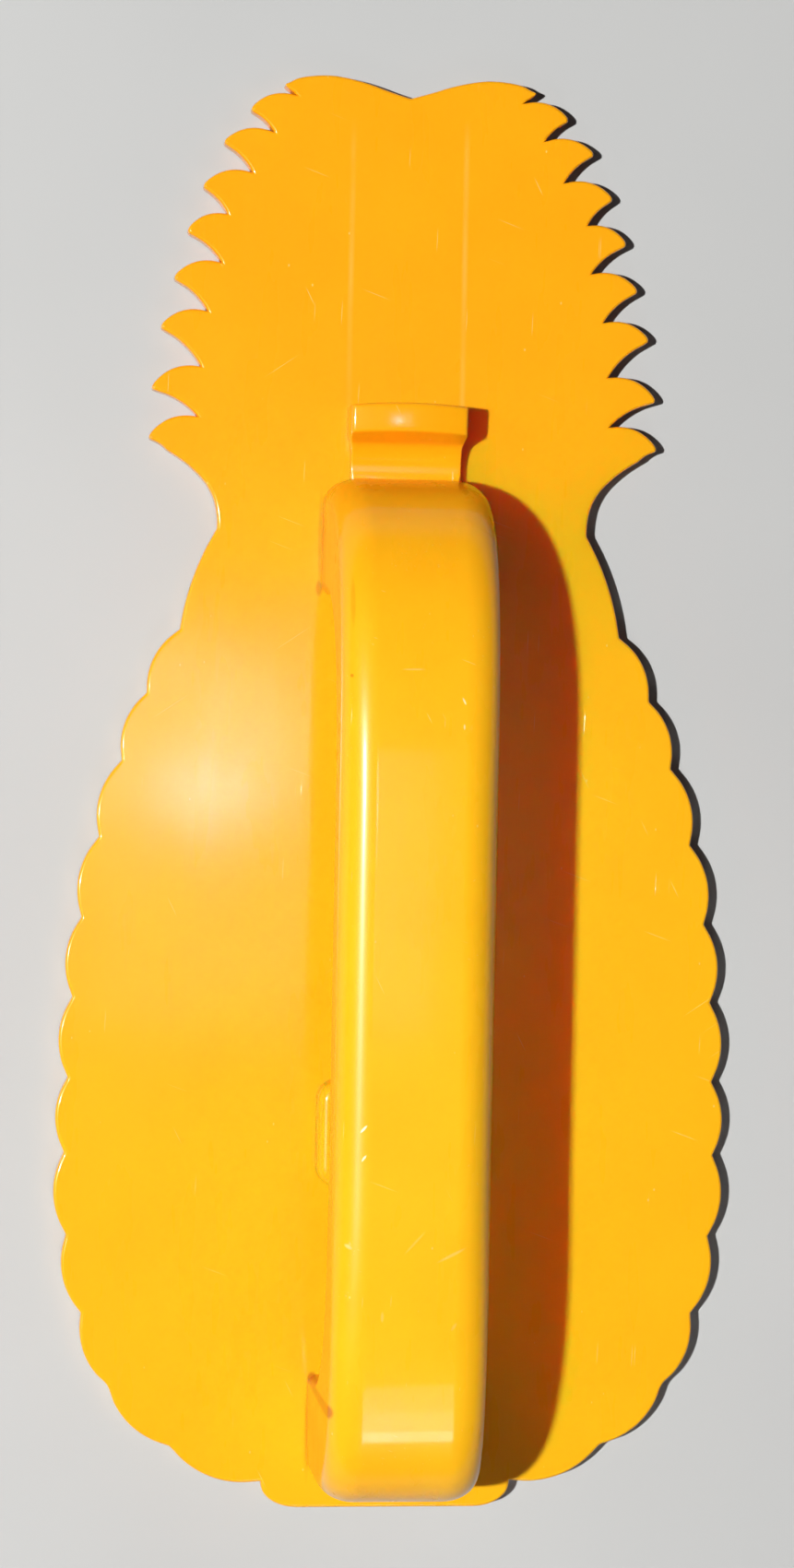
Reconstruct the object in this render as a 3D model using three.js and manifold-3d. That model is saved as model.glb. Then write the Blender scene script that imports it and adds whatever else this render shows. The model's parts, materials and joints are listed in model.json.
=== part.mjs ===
// A pineapple slicer: a flat guard plate in the outline of a pineapple, a strap handle on two
// feet, and a thumb slide that pushes a flat serrated blade out of the notch in the crown.
// Millimetres. +Z up, the plate lies on z = 0, +Y points to the crown, x = 0 is the middle.

import * as THREE from 'three';
import { mergeVertices } from 'three/addons/utils/BufferGeometryUtils.js';
import Module from 'manifold-3d';

const wasm = await Module();
wasm.setup();

// Plate: overall sizes. Distances called "from base" run from the stem end towards the crown.
const plateLength = 216.4;
const plateThickness = 3.2;
const plateEdgeBevel = 0.4;
const bodyHalfWidth = 49.5;
const waistHalfWidth = 28.1;
const waistFromBase = 148;
const crownHalfWidth = 38.9;
const leafTipRun = 1.1;
const leafTipEdgeShare = 0.32;
const leafTipBevelShare = 0.735;
const baseTabHalfWidth = 19;
const baseTabHeight = 4;
const baseTabCornerRun = 5.6;
const baseTabCornerRise = 3.7;

// Crown: [share of crownHalfWidth, share of the height from waist to crown top].
const crownNotchShare = 0.955;
const lobeShares = [[0.077, 0.968], [0.188, 0.988], [0.308, 0.9995], [0.427, 0.993]];
const leafTipShares = [
  [0.488, 0.975], [0.627, 0.917], [0.730, 0.844], [0.807, 0.746], [0.864, 0.646],
  [0.913, 0.544], [0.961, 0.436], [0.992, 0.301], [1.000, 0.193],
];
const leafNotchShares = [
  [0.440, 0.953], [0.527, 0.871], [0.607, 0.781], [0.702, 0.689],
  [0.720, 0.582], [0.771, 0.475], [0.794, 0.354], [0.802, 0.244],
];
// Height to half width at which the leaves have the bulges below.
const crownSlimnessShare = 1.7584;
const leafUpperBulgeShare = 0.17;
const leafLowerBulgeShare = 0.085;

// Shoulder under the lowest leaf: [share from waist to crown half width, share of tip height].
const shoulderShares = [[0.72, 0.88], [0.45, 0.735], [0.185, 0.53], [0.045, 0.318], [0, 0.106]];

// Body: valleys between the scallops, [share of bodyHalfWidth, share of waistFromBase].
const valleyShares = [
  [0.675, 0.897], [0.772, 0.832], [0.844, 0.763], [0.909, 0.685], [0.958, 0.603],
  [0.982, 0.522], [0.992, 0.440], [1.000, 0.364], [0.990, 0.280], [0.941, 0.200],
  [0.857, 0.126], [0.665, 0.0635],
];
const waistBulgeShare = 0.05;
const scallopBulgeShare = 0.14;

// Handle: a strap on two feet.
const frontFootFromBase = 138.5;
const frontFootLength = 17.5;
const rearFootFromBase = 3.9;
const rearFootLength = 16.4;
const handleHeight = 30.8;
const beamDepth = 9.8;
const handleFootHalfWidth = 12.2;
const handleTopHalfWidth = 11.4;
const outerFillet = 4;
const innerFillet = 1.6;
const handleEndRun = 50;

// How square the ends of the strap are, along it and upwards: 2 is a round, more is squarer.
const frontSquareness = { along: 3, up: 2.6 };
const rearSquareness = { along: 3, up: 5.4 };
const gripSquareness = { along: 3, up: 3 };

// Handle inside: the shell is hollow along the beam and a liner closes it from below.
const shellTopWall = 2.4;
const shellSideWall = 2.4;
const linerThickness = 2.2;
const cavityEndShare = 0.56;
const linerEndShare = 0.585;
const cavityRound = 1;
const linerScrewSpacing = 40;
const linerBossRadius = 3;
const linerScrewLength = 6.2;

// Thumb slide: a flat bar with a raised lip, on top of the plate.
const slideTravel = 42.4;
const barHalfWidth = 8.3;
const barThickness = 2;
const barEdgeRound = 0.4;
const barEndRadius = 2;
const barTailFromBase = 7.8;
const lipHalfWidth = 8.75;
const lipHeight = 8.1;
const lipTopLength = 4.2;
const lipSlopeRun = 1.6;
const lipSlopeFootHeight = 3.8;
const lipScoopRun = 5;
const lipScoopBendShare = 0.22;
const lipReach = 11.05;
const lipFrontBow = 0.45;

// Lip seen from the front: [share of lipHalfWidth, share of lipHeight], right half from the side.
const lipCrownShares = [[1, 0.79], [0.98, 0.86], [0.92, 0.91], [0.7, 0.95], [0.36, 0.987], [0, 1]];

// Blade and its fixing under the bar.
const bladeHalfWidth = 7;
const bladeThickness = 0.6;
const bladeBevelWidth = 2.4;
const bladeEdgeThickness = 0.1;
const bladeTipSetback = 1.2;
const bladeTipLength = 11;
const bladeTailRadius = 2;
const toothCount = 14;
const toothPitch = 2;
const toothDepth = 0.7;
const blockHalfWidth = 3;
const blockLength = 28;
const slotToFoot = 6;
const rivetSpacing = 16;
const rivetRadius = 1.2;
const rivetHeadRadius = 2.2;
const rivetHeadHeight = 0.6;
const rivetFootRadius = 1.7;

// Blade cover: a strip let into the underside, which closes the blade's channel.
const coverThickness = 0.8;
const coverHalfWidth = 13;
const coverMouthSetback = 1.7;
const coverTailMargin = 5.7;
const coverCornerRadius = 3;
const coverScrewHalfSpacing = 10.4;
const coverScrewInset = 10.6;
const coverScrewPitch = 23;

// Middle guide: a bridge over the bar, with a flat spring in its roof.
const guideTailMargin = 1;
const guideLength = 16.1;
const guideHalfWidth = 11.6;
const guideHeight = 4.5;
const guideCornerRadius = 3;
const guideEdgeRound = 1.6;
const guideScrewHalfSpacing = 10.1;
const springHalfWidth = 4;
const springLength = 12.4;
const springThickness = 0.35;
const springPocketDepth = 1.2;

// Fasteners.
const footScrewHalfSpacing = 10.3;
const footScrewLength = 13;
const footScrewRadius = 1;
const guideScrewLength = 5.4;
const guideScrewRadius = 0.8;
const coverScrewLength = 2.25;
const coverScrewRadius = 0.9;
const linerScrewRadius = 1.1;
const screwHeadShare = 1.9;
const screwRecess = 0.15;
const driveHalfWidth = 0.3;
const driveDepth = 0.45;

// Clearances and overruns.
const slideGap = 0.3;
const fitGap = 0.3;
const threadGap = 0.15;
const stopGap = 0.4;
const overrun = 2;
const weldDistance = 0.0001;

// Places that follow from the sizes above.
const baseY = -plateLength / 2;
const crownTopY = plateLength / 2;
const waistY = baseY + waistFromBase;
const plateTop = plateThickness;
const frontFootY = baseY + frontFootFromBase;
const rearFootY = baseY + rearFootFromBase;
const handleFrontY = frontFootY + frontFootLength;
const rearGripY = rearFootY + rearFootLength;
const barBottom = plateTop + slideGap;
const barTop = barBottom + barThickness;
const barTailY = baseY + barTailFromBase;
const lipFrontY = handleFrontY + lipReach;
const slotFrontY = frontFootY - slotToFoot;
const blockFrontY = slotFrontY - stopGap - slideTravel;
const blockRearY = blockFrontY - blockLength;
const blockMiddleY = (blockFrontY + blockRearY) / 2;
const channelBottom = coverThickness;
const bladeBottom = channelBottom + slideGap;
const bladeTop = bladeBottom + bladeThickness;
const channelTop = bladeTop + slideGap;
const channelHalfWidth = bladeHalfWidth + slideGap;
const crownNotchY = waistY + (crownTopY - waistY) * crownNotchShare;
const bladeTipY = crownNotchY - bladeTipSetback;
const guideRearY = barTailY + slideTravel - guideTailMargin;
const guideMiddleY = guideRearY + guideLength / 2;
const coverFrontY = crownNotchY - coverMouthSetback;
const coverTailY = guideMiddleY - coverTailMargin;
const tunnelHalfWidth = barHalfWidth + slideGap;
const tunnelTop = barTop + slideGap;

// Curve steps, counts and angles, not lengths.
const cornerSteps = 3;
const lowerEdgeSteps = 4;
const curveSteps = 5;
const roundSteps = 16;
const handleEndSteps = 13;

// Joining and cutting.

function solidOf(geometry) {
  const bare = geometry.index ? geometry.toNonIndexed() : geometry.clone();
  bare.deleteAttribute('normal');
  bare.deleteAttribute('uv');
  const merged = mergeVertices(bare, weldDistance);
  return new wasm.Manifold(new wasm.Mesh({
    numProp: 3,
    vertProperties: new Float32Array(merged.attributes.position.array),
    triVerts: new Uint32Array(merged.index.array),
  }));
}

function geometryOf(solid) {
  const mesh = solid.getMesh();
  const geometry = new THREE.BufferGeometry();
  const corners = new Float32Array(mesh.numVert * 3);
  for (let i = 0; i < mesh.numVert; i += 1) {
    for (let axis = 0; axis < 3; axis += 1) {
      corners[i * 3 + axis] = mesh.vertProperties[i * mesh.numProp + axis];
    }
  }
  geometry.setAttribute('position', new THREE.BufferAttribute(corners, 3));
  geometry.setIndex(new THREE.BufferAttribute(new Uint32Array(mesh.triVerts), 1));
  geometry.computeVertexNormals();
  return geometry;
}

function cut(body, tools) {
  return tools.reduce((left, tool) => left.subtract(solidOf(tool)), body);
}

// Plain shapes.

function box(lowX, highX, lowY, highY, lowZ, highZ) {
  const geometry = new THREE.BoxGeometry(highX - lowX, highY - lowY, highZ - lowZ);
  return geometry.translate((lowX + highX) / 2, (lowY + highY) / 2, (lowZ + highZ) / 2);
}

function prism(shape, lowZ, highZ, steps = curveSteps) {
  const depth = highZ - lowZ;
  const geometry = new THREE.ExtrudeGeometry(shape, { depth, bevelEnabled: false, curveSegments: steps });
  return geometry.translate(0, 0, lowZ);
}

// Turns a prism of a (y, z) outline so that its length lies along X.
function alongX(geometry) {
  return geometry.rotateY(Math.PI / 2).rotateX(Math.PI / 2);
}

// Turns a prism of an (x, z) outline so that its length lies along -Y.
function alongY(geometry) {
  return geometry.rotateX(Math.PI / 2);
}

function roundedRectangle(lowX, highX, lowY, highY, radius) {
  const shape = new THREE.Shape();
  const quarter = Math.PI / 2;
  shape.moveTo(lowX + radius, lowY);
  shape.absarc(highX - radius, lowY + radius, radius, -quarter, 0, false);
  shape.absarc(highX - radius, highY - radius, radius, 0, quarter, false);
  shape.absarc(lowX + radius, highY - radius, radius, quarter, quarter * 2, false);
  shape.absarc(lowX + radius, lowY + radius, radius, quarter * 2, quarter * 3, false);
  return shape;
}

// A prism whose upper edge is rounded and whose lower edge is square.
function roundTopPrism(shape, lowZ, highZ, edge, steps) {
  const geometry = new THREE.ExtrudeGeometry(shape, {
    depth: highZ - lowZ,
    bevelThickness: edge,
    bevelSize: edge,
    bevelOffset: -edge,
    bevelSegments: steps,
    curveSegments: curveSteps,
  });
  geometry.translate(0, 0, lowZ - edge);
  const size = new THREE.Box3().setFromBufferAttribute(geometry.attributes.position);
  const room = box(size.min.x - overrun, size.max.x + overrun, size.min.y - overrun,
    size.max.y + overrun, lowZ, highZ + overrun);
  return solidOf(geometry).intersect(solidOf(room));
}

// A body turned about an upright axis at (x, y), from [radius, z] corners.
function turned(corners, x, y) {
  const points = corners.map(([radius, z]) => new THREE.Vector2(radius, z));
  const geometry = new THREE.LatheGeometry([...points, points[0].clone()], roundSteps);
  return geometry.rotateX(Math.PI / 2).translate(x, y, 0);
}

function rod(radius, x, y, lowZ, highZ) {
  return turned([[0, lowZ], [radius, lowZ], [radius, highZ], [0, highZ]], x, y);
}

// Closed skin through rings of equal length, with flat ends.
function loft(rings) {
  const count = rings[0].length;
  const corners = rings.flat().flatMap((point) => [point.x, point.y, point.z]);
  const faces = [];
  for (let row = 0; row + 1 < rings.length; row += 1) {
    for (let i = 0; i < count; i += 1) {
      const a = row * count + i;
      const b = row * count + ((i + 1) % count);
      faces.push(a, b, a + count, b, b + count, a + count);
    }
  }
  const last = (rings.length - 1) * count;
  for (let i = 1; i + 1 < count; i += 1) {
    faces.push(0, i + 1, i, last, last + i, last + i + 1);
  }
  const geometry = new THREE.BufferGeometry();
  geometry.setAttribute('position', new THREE.Float32BufferAttribute(corners, 3));
  geometry.setIndex(faces);
  return geometry;
}

// Plate outline, right half, from the crown's notch down to the base tab.

function crownPoint([xShare, yShare]) {
  return new THREE.Vector2(crownHalfWidth * xShare, waistY + (crownTopY - waistY) * yShare);
}

function bulgedEdge(start, end, bulgeShare, stretch = 1) {
  const run = end.clone().sub(start);
  const outward = new THREE.Vector2(-run.y / stretch, run.x * stretch).multiplyScalar(bulgeShare * 2);
  const middle = start.clone().add(end).multiplyScalar(1 / 2).add(outward);
  return new THREE.QuadraticBezierCurve(start, middle, end);
}

function leafEdges(above, tip, below) {
  const stretch = (crownTopY - waistY) / (crownHalfWidth * crownSlimnessShare);
  const upper = bulgedEdge(above, tip, leafUpperBulgeShare, stretch);
  const lower = bulgedEdge(tip, below, -leafLowerBulgeShare, stretch);
  const upperStop = 1 - Math.min(leafTipRun / upper.getLength(), leafTipEdgeShare);
  const lowerStart = Math.min(leafTipRun / lower.getLength(), leafTipEdgeShare);
  const points = [];
  for (let i = 1; i <= curveSteps; i += 1) {
    points.push(upper.getPointAt((upperStop * i) / curveSteps));
  }
  const bend = new THREE.QuadraticBezierCurve(
    upper.getPointAt(upperStop), tip, lower.getPointAt(lowerStart));
  points.push(...bend.getPoints(cornerSteps).slice(1));
  for (let i = 1; i <= lowerEdgeSteps; i += 1) {
    points.push(lower.getPointAt(lowerStart + ((1 - lowerStart) * i) / lowerEdgeSteps));
  }
  return points;
}

function crownSide() {
  const notch = new THREE.Vector2(0, crownNotchY);
  const lobe = [notch, ...lobeShares.map(crownPoint), crownPoint(leafTipShares[0])];
  const points = new THREE.SplineCurve(lobe).getPoints(lobe.length * 2).slice(0, -1);
  const firstTip = crownPoint(leafTipShares[0]);
  points.push(firstTip.clone(), crownPoint(leafNotchShares[0]));
  for (let i = 1; i < leafNotchShares.length; i += 1) {
    const above = crownPoint(leafNotchShares[i - 1]);
    points.push(...leafEdges(above, crownPoint(leafTipShares[i]), crownPoint(leafNotchShares[i])));
  }
  return points;
}

function shoulderSide() {
  const above = crownPoint(leafNotchShares[leafNotchShares.length - 1]);
  const tip = crownPoint(leafTipShares[leafTipShares.length - 1]);
  const spread = crownHalfWidth - waistHalfWidth;
  const below = shoulderShares.map(([xShare, yShare]) => new THREE.Vector2(
    waistHalfWidth + spread * xShare, waistY + (tip.y - waistY) * yShare));
  const points = leafEdges(above, tip, below[0]);
  const waist = new THREE.Vector2(waistHalfWidth, waistY);
  const curve = new THREE.SplineCurve([...below, waist]);
  points.push(...curve.getPoints(curveSteps * 2).slice(1));
  return points;
}

function bodySide() {
  const valleys = valleyShares.map(([xShare, yShare]) => new THREE.Vector2(
    bodyHalfWidth * xShare, baseY + waistFromBase * yShare));
  valleys.push(new THREE.Vector2(baseTabHalfWidth, baseY + baseTabHeight));
  let start = new THREE.Vector2(waistHalfWidth, waistY);
  const points = [];
  valleys.forEach((valley, i) => {
    const share = i === 0 ? waistBulgeShare : scallopBulgeShare;
    points.push(...bulgedEdge(start, valley, share).getPoints(curveSteps).slice(1));
    start = valley;
  });
  return points;
}

function baseTabSide() {
  const corner = new THREE.EllipseCurve(baseTabHalfWidth - baseTabCornerRun, baseY + baseTabCornerRise,
    baseTabCornerRun, baseTabCornerRise, 0, -Math.PI / 2, true);
  return corner.getPoints(curveSteps);
}

function plateShape() {
  const right = [...crownSide(), ...shoulderSide(), ...bodySide(), ...baseTabSide()];
  const left = right.slice(1).reverse().map((point) => new THREE.Vector2(-point.x, point.y));
  return new THREE.Shape([...right, ...left]);
}

// Fasteners: a countersunk screw that points up, with a straight drive slot in its head.

function screwTool(radius, x, y, bottom, length, gap) {
  const headRadius = radius * screwHeadShare;
  const headHeight = headRadius - radius;
  const low = bottom + screwRecess;
  const shank = radius + gap;
  const head = headRadius + gap;
  if (gap > 0) {
    return turned([[0, bottom - overrun], [head, bottom - overrun], [head, low],
      [shank, low + headHeight], [shank, bottom + length + gap], [0, bottom + length + gap]], x, y);
  }
  return turned([[0, low], [head, low], [shank, low + headHeight], [shank, bottom + length],
    [0, bottom + length]], x, y);
}

function screw(radius, x, y, bottom, length) {
  const headRadius = radius * screwHeadShare;
  const low = bottom + screwRecess;
  const slot = box(x - headRadius - overrun, x + headRadius + overrun, y - driveHalfWidth,
    y + driveHalfWidth, low - overrun, low + driveDepth);
  return geometryOf(cut(solidOf(screwTool(radius, x, y, bottom, length, 0)), [slot]));
}

const handleScrewPlaces = [
  ['handle_screw_front_left', -footScrewHalfSpacing, frontFootY + frontFootLength / 2],
  ['handle_screw_front_right', footScrewHalfSpacing, frontFootY + frontFootLength / 2],
  ['handle_screw_rear_left', -footScrewHalfSpacing, rearFootY + rearFootLength / 2],
  ['handle_screw_rear_right', footScrewHalfSpacing, rearFootY + rearFootLength / 2],
];
const guideScrewPlaces = [
  ['guide_screw_left', -guideScrewHalfSpacing, guideMiddleY],
  ['guide_screw_right', guideScrewHalfSpacing, guideMiddleY],
];
const coverScrewPlaces = [
  ['cover_screw_front_left', -coverScrewHalfSpacing, coverFrontY - coverScrewInset],
  ['cover_screw_front_right', coverScrewHalfSpacing, coverFrontY - coverScrewInset],
  ['cover_screw_middle_left', -coverScrewHalfSpacing, coverFrontY - coverScrewInset - coverScrewPitch],
  ['cover_screw_middle_right', coverScrewHalfSpacing, coverFrontY - coverScrewInset - coverScrewPitch],
];

function screwHoles(places, radius, length) {
  return places.map(([, x, y]) => screwTool(radius, x, y, 0, length, threadGap));
}

const footScrewHoles = screwHoles(handleScrewPlaces, footScrewRadius, footScrewLength);
const guideScrewHoles = screwHoles(guideScrewPlaces, guideScrewRadius, guideScrewLength);
const coverScrewHoles = screwHoles(coverScrewPlaces, coverScrewRadius, coverScrewLength);

// Guard plate.

// The edge's bevel, held within the rounding of the sharpest leaf tip.
function edgeBevel() {
  const tips = leafTipShares.slice(1).map(crownPoint);
  const notches = leafNotchShares.map(crownPoint);
  const roundings = tips.slice(0, -1).map((tip, i) => {
    const above = notches[i].clone().sub(tip);
    const below = notches[i + 1].clone().sub(tip);
    return leafTipRun * leafTipBevelShare * Math.tan(above.angleTo(below) / 2);
  });
  return Math.min(plateEdgeBevel, ...roundings);
}

function plate() {
  const bevel = edgeBevel();
  const blank = new THREE.ExtrudeGeometry(plateShape(), {
    depth: plateThickness - bevel * 2,
    bevelThickness: bevel,
    bevelSize: bevel,
    bevelOffset: -bevel,
    bevelSegments: 1,
  }).translate(0, 0, bevel);
  const coverSeat = roundedRectangle(-coverHalfWidth - fitGap, coverHalfWidth + fitGap,
    coverTailY - fitGap, coverFrontY + fitGap, coverCornerRadius + fitGap);
  const channelTailY = blockRearY - stopGap;
  const slotHalfWidth = blockHalfWidth + slideGap;
  return geometryOf(cut(solidOf(blank), [
    prism(coverSeat, -overrun, coverThickness, cornerSteps),
    box(-channelHalfWidth, channelHalfWidth, channelTailY, coverFrontY,
      channelBottom - overrun, channelTop),
    box(-channelHalfWidth, channelHalfWidth, coverFrontY - overrun, crownTopY + overrun,
      -overrun, channelTop),
    box(-slotHalfWidth, slotHalfWidth, channelTailY, slotFrontY, channelBottom, plateTop + overrun),
    ...footScrewHoles,
    ...guideScrewHoles,
    ...coverScrewHoles,
  ]));
}

// Strap handle: sections between the outer line and the grip line, from foot to foot.

function quarterPoint(startY, run, rise, squareness, share) {
  const angle = (share * Math.PI) / 2;
  const left = Math.cos(angle) ** (2 / squareness.along);
  const climbed = Math.sin(angle) ** (2 / squareness.up);
  return new THREE.Vector2(startY - run * (1 - left), plateTop + rise * climbed);
}

function handleStation(end, share) {
  const gripHeight = handleHeight - beamDepth;
  if (end === 'front') {
    return {
      outer: quarterPoint(handleFrontY, handleEndRun, handleHeight, frontSquareness, share),
      inner: quarterPoint(frontFootY, handleEndRun - frontFootLength, gripHeight, gripSquareness, share),
    };
  }
  return {
    outer: quarterPoint(rearFootY, -handleEndRun, handleHeight, rearSquareness, share),
    inner: quarterPoint(rearGripY, rearFootLength - handleEndRun, gripHeight, gripSquareness, share),
  };
}

function handleHalfWidth(z) {
  const rise = (z - plateTop) / handleHeight;
  return handleFootHalfWidth + (handleTopHalfWidth - handleFootHalfWidth) * rise;
}

// One section: depths run from the grip line outwards, inset narrows it on both sides.
function handleRing({ outer, inner }, fromDepth, toDepth, inset, innerRadius, outerRadius) {
  const direction = outer.clone().sub(inner).normalize();
  const corner = (side, radius, depth, sign) => {
    const arc = [];
    for (let i = 0; i <= cornerSteps; i += 1) {
      const angle = (i / cornerSteps) * (Math.PI / 2);
      const along = depth + sign * radius * (1 - Math.sin(angle));
      const point = inner.clone().addScaledVector(direction, along);
      const reach = handleHalfWidth(point.y) - inset - radius * (1 - Math.cos(angle));
      arc.push(new THREE.Vector3(side * reach, point.x, point.y));
    }
    return arc;
  };
  return [
    ...corner(-1, innerRadius, fromDepth, 1),
    ...corner(1, innerRadius, fromDepth, 1).reverse(),
    ...corner(1, outerRadius, toDepth, -1),
    ...corner(-1, outerRadius, toDepth, -1).reverse(),
  ];
}

function handleLoft(startShare, depths, inset, innerRadius, outerRadius) {
  const rings = [];
  const addRing = (end, share) => {
    const station = handleStation(end, share);
    const [fromDepth, toDepth] = depths(station);
    rings.push(handleRing(station, fromDepth, toDepth, inset, innerRadius, outerRadius));
  };
  const steps = Math.ceil(handleEndSteps * (1 - startShare));
  for (let i = 0; i <= steps; i += 1) {
    addRing('front', startShare + ((1 - startShare) * i) / steps);
  }
  for (let i = steps; i >= 0; i -= 1) {
    addRing('rear', startShare + ((1 - startShare) * i) / steps);
  }
  return loft(rings);
}

const linerScrewPlaces = [
  ['liner_screw_front', 1 / 2],
  ['liner_screw_rear', -1 / 2],
].map(([name, share]) => [name, (handleFrontY + rearFootY) / 2 + linerScrewSpacing * share]);
const gripZ = plateTop + handleHeight - beamDepth;

function handleShell() {
  const outside = handleLoft(0,
    ({ outer, inner }) => [0, outer.distanceTo(inner)],
    0, innerFillet, outerFillet);
  const hollow = handleLoft(cavityEndShare,
    ({ outer, inner }) => [-overrun, outer.distanceTo(inner) - shellTopWall],
    shellSideWall, cavityRound, cavityRound);
  const bossTop = plateTop + handleHeight - shellTopWall;
  const bosses = linerScrewPlaces.map(([, y]) => rod(linerBossRadius, 0, y,
    gripZ + linerThickness + fitGap, bossTop + overrun / 2));
  let solid = cut(solidOf(outside), [hollow]);
  for (const boss of bosses) {
    solid = solid.add(solidOf(boss));
  }
  const tunnelRearY = barTailY - slideGap;
  const frontTunnel = box(-tunnelHalfWidth, tunnelHalfWidth, frontFootY - overrun,
    handleFrontY + overrun, plateTop - overrun, tunnelTop);
  const rearTunnel = box(-tunnelHalfWidth, tunnelHalfWidth, tunnelRearY, rearGripY + overrun,
    plateTop - overrun, tunnelTop);
  const screwSpace = linerScrewPlaces.map(([, y]) => screwTool(linerScrewRadius, 0, y, gripZ,
    linerScrewLength, threadGap));
  return geometryOf(cut(solid, [frontTunnel, rearTunnel, ...footScrewHoles, ...screwSpace]));
}

function handleLiner() {
  const strip = handleLoft(linerEndShare, () => [0, linerThickness],
    shellSideWall + fitGap, cavityRound, cavityRound);
  const holes = linerScrewPlaces.map(([, y]) => screwTool(linerScrewRadius, 0, y, gripZ,
    linerScrewLength, threadGap));
  return geometryOf(cut(solidOf(strip), holes));
}

// Thumb slide: bar and lip in one piece.

function lip() {
  const lipTop = plateTop + lipHeight;
  const topRearY = lipFrontY - lipTopLength;
  const slopeFootY = topRearY - lipSlopeRun;
  const scoopRearY = slopeFootY - lipScoopRun;
  const side = new THREE.Shape();
  side.moveTo(scoopRearY, barBottom);
  side.lineTo(lipFrontY, barBottom);
  side.lineTo(lipFrontY, lipTop);
  side.lineTo(topRearY, lipTop);
  side.lineTo(slopeFootY, plateTop + lipSlopeFootHeight);
  side.quadraticCurveTo(slopeFootY - lipScoopRun * lipScoopBendShare, barTop, scoopRearY, barTop);
  const crown = lipCrownShares.map(([xShare, zShare]) => new THREE.Vector2(
    lipHalfWidth * xShare, plateTop + lipHeight * zShare));
  const mirrored = crown.slice(0, -1).reverse().map((point) => new THREE.Vector2(-point.x, point.y));
  const front = new THREE.Shape();
  front.moveTo(-lipHalfWidth, barBottom);
  front.lineTo(lipHalfWidth, barBottom);
  front.lineTo(crown[0].x, crown[0].y);
  front.splineThru([...crown.slice(1), ...mirrored]);
  const plan = new THREE.Shape();
  plan.moveTo(-lipHalfWidth, scoopRearY - overrun);
  plan.lineTo(lipHalfWidth, scoopRearY - overrun);
  plan.lineTo(lipHalfWidth, lipFrontY - lipFrontBow);
  plan.quadraticCurveTo(0, lipFrontY + lipFrontBow, -lipHalfWidth, lipFrontY - lipFrontBow);
  const sideBody = alongX(prism(side, -lipHalfWidth - overrun, lipHalfWidth + overrun));
  const frontBody = alongY(prism(front, -lipFrontY - overrun, overrun - scoopRearY));
  const planBody = prism(plan, barBottom - overrun, lipTop + overrun);
  return solidOf(sideBody).intersect(solidOf(frontBody)).intersect(solidOf(planBody));
}

const rivetPlaces = [
  ['blade_rivet_front', blockMiddleY + rivetSpacing / 2],
  ['blade_rivet_rear', blockMiddleY - rivetSpacing / 2],
];

function rivetHole(y) {
  return rod(rivetRadius + threadGap, 0, y, bladeBottom - overrun, barTop + overrun);
}

function thumbSlide() {
  const outline = roundedRectangle(-barHalfWidth, barHalfWidth, barTailY, lipFrontY - lipFrontBow * 2,
    barEndRadius);
  const bar = roundTopPrism(outline, barBottom, barTop, barEdgeRound, 1);
  return geometryOf(cut(bar.add(lip()), rivetPlaces.map(([, y]) => rivetHole(y))));
}

// Spacer block that runs in the plate's slot, between bar and blade.
function slideBlock() {
  const low = bladeTop;
  const outline = roundedRectangle(-blockHalfWidth, blockHalfWidth, blockRearY, blockFrontY,
    blockHalfWidth / 2);
  const block = solidOf(prism(outline, low, barBottom, cornerSteps));
  return geometryOf(cut(block, rivetPlaces.map(([, y]) => rivetHole(y))));
}

function bladeRivet(y) {
  const footHeight = rivetFootRadius - rivetRadius;
  const headTop = barTop + rivetHeadHeight;
  const shoulder = barTop + rivetHeadHeight / 3;
  return turned([[0, bladeBottom], [rivetFootRadius, bladeBottom],
    [rivetRadius, bladeBottom + footHeight], [rivetRadius, barTop], [rivetHeadRadius, barTop],
    [rivetHeadRadius, shoulder], [rivetRadius, headTop], [0, headTop]], 0, y);
}

// Blade: flat steel, ground on both long edges, with teeth on its free length.

function bladeOutline() {
  const shoulderY = bladeTipY - bladeTipLength;
  const shape = new THREE.Shape();
  shape.moveTo(-bladeHalfWidth + bladeTailRadius, blockRearY);
  shape.absarc(bladeHalfWidth - bladeTailRadius, blockRearY + bladeTailRadius, bladeTailRadius,
    -Math.PI / 2, 0, false);
  for (let i = toothCount; i > 0; i -= 1) {
    const toothY = shoulderY - toothPitch * i;
    shape.lineTo(bladeHalfWidth, toothY);
    shape.lineTo(bladeHalfWidth - toothDepth, toothY + toothPitch / 2);
  }
  shape.lineTo(bladeHalfWidth, shoulderY);
  shape.quadraticCurveTo(bladeHalfWidth, bladeTipY - bladeTipLength / 3, 0, bladeTipY);
  shape.quadraticCurveTo(-bladeHalfWidth, bladeTipY - bladeTipLength / 3, -bladeHalfWidth, shoulderY);
  shape.lineTo(-bladeHalfWidth, blockRearY + bladeTailRadius);
  shape.absarc(-bladeHalfWidth + bladeTailRadius, blockRearY + bladeTailRadius, bladeTailRadius,
    Math.PI, Math.PI * (3 / 2), false);
  return shape;
}

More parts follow.
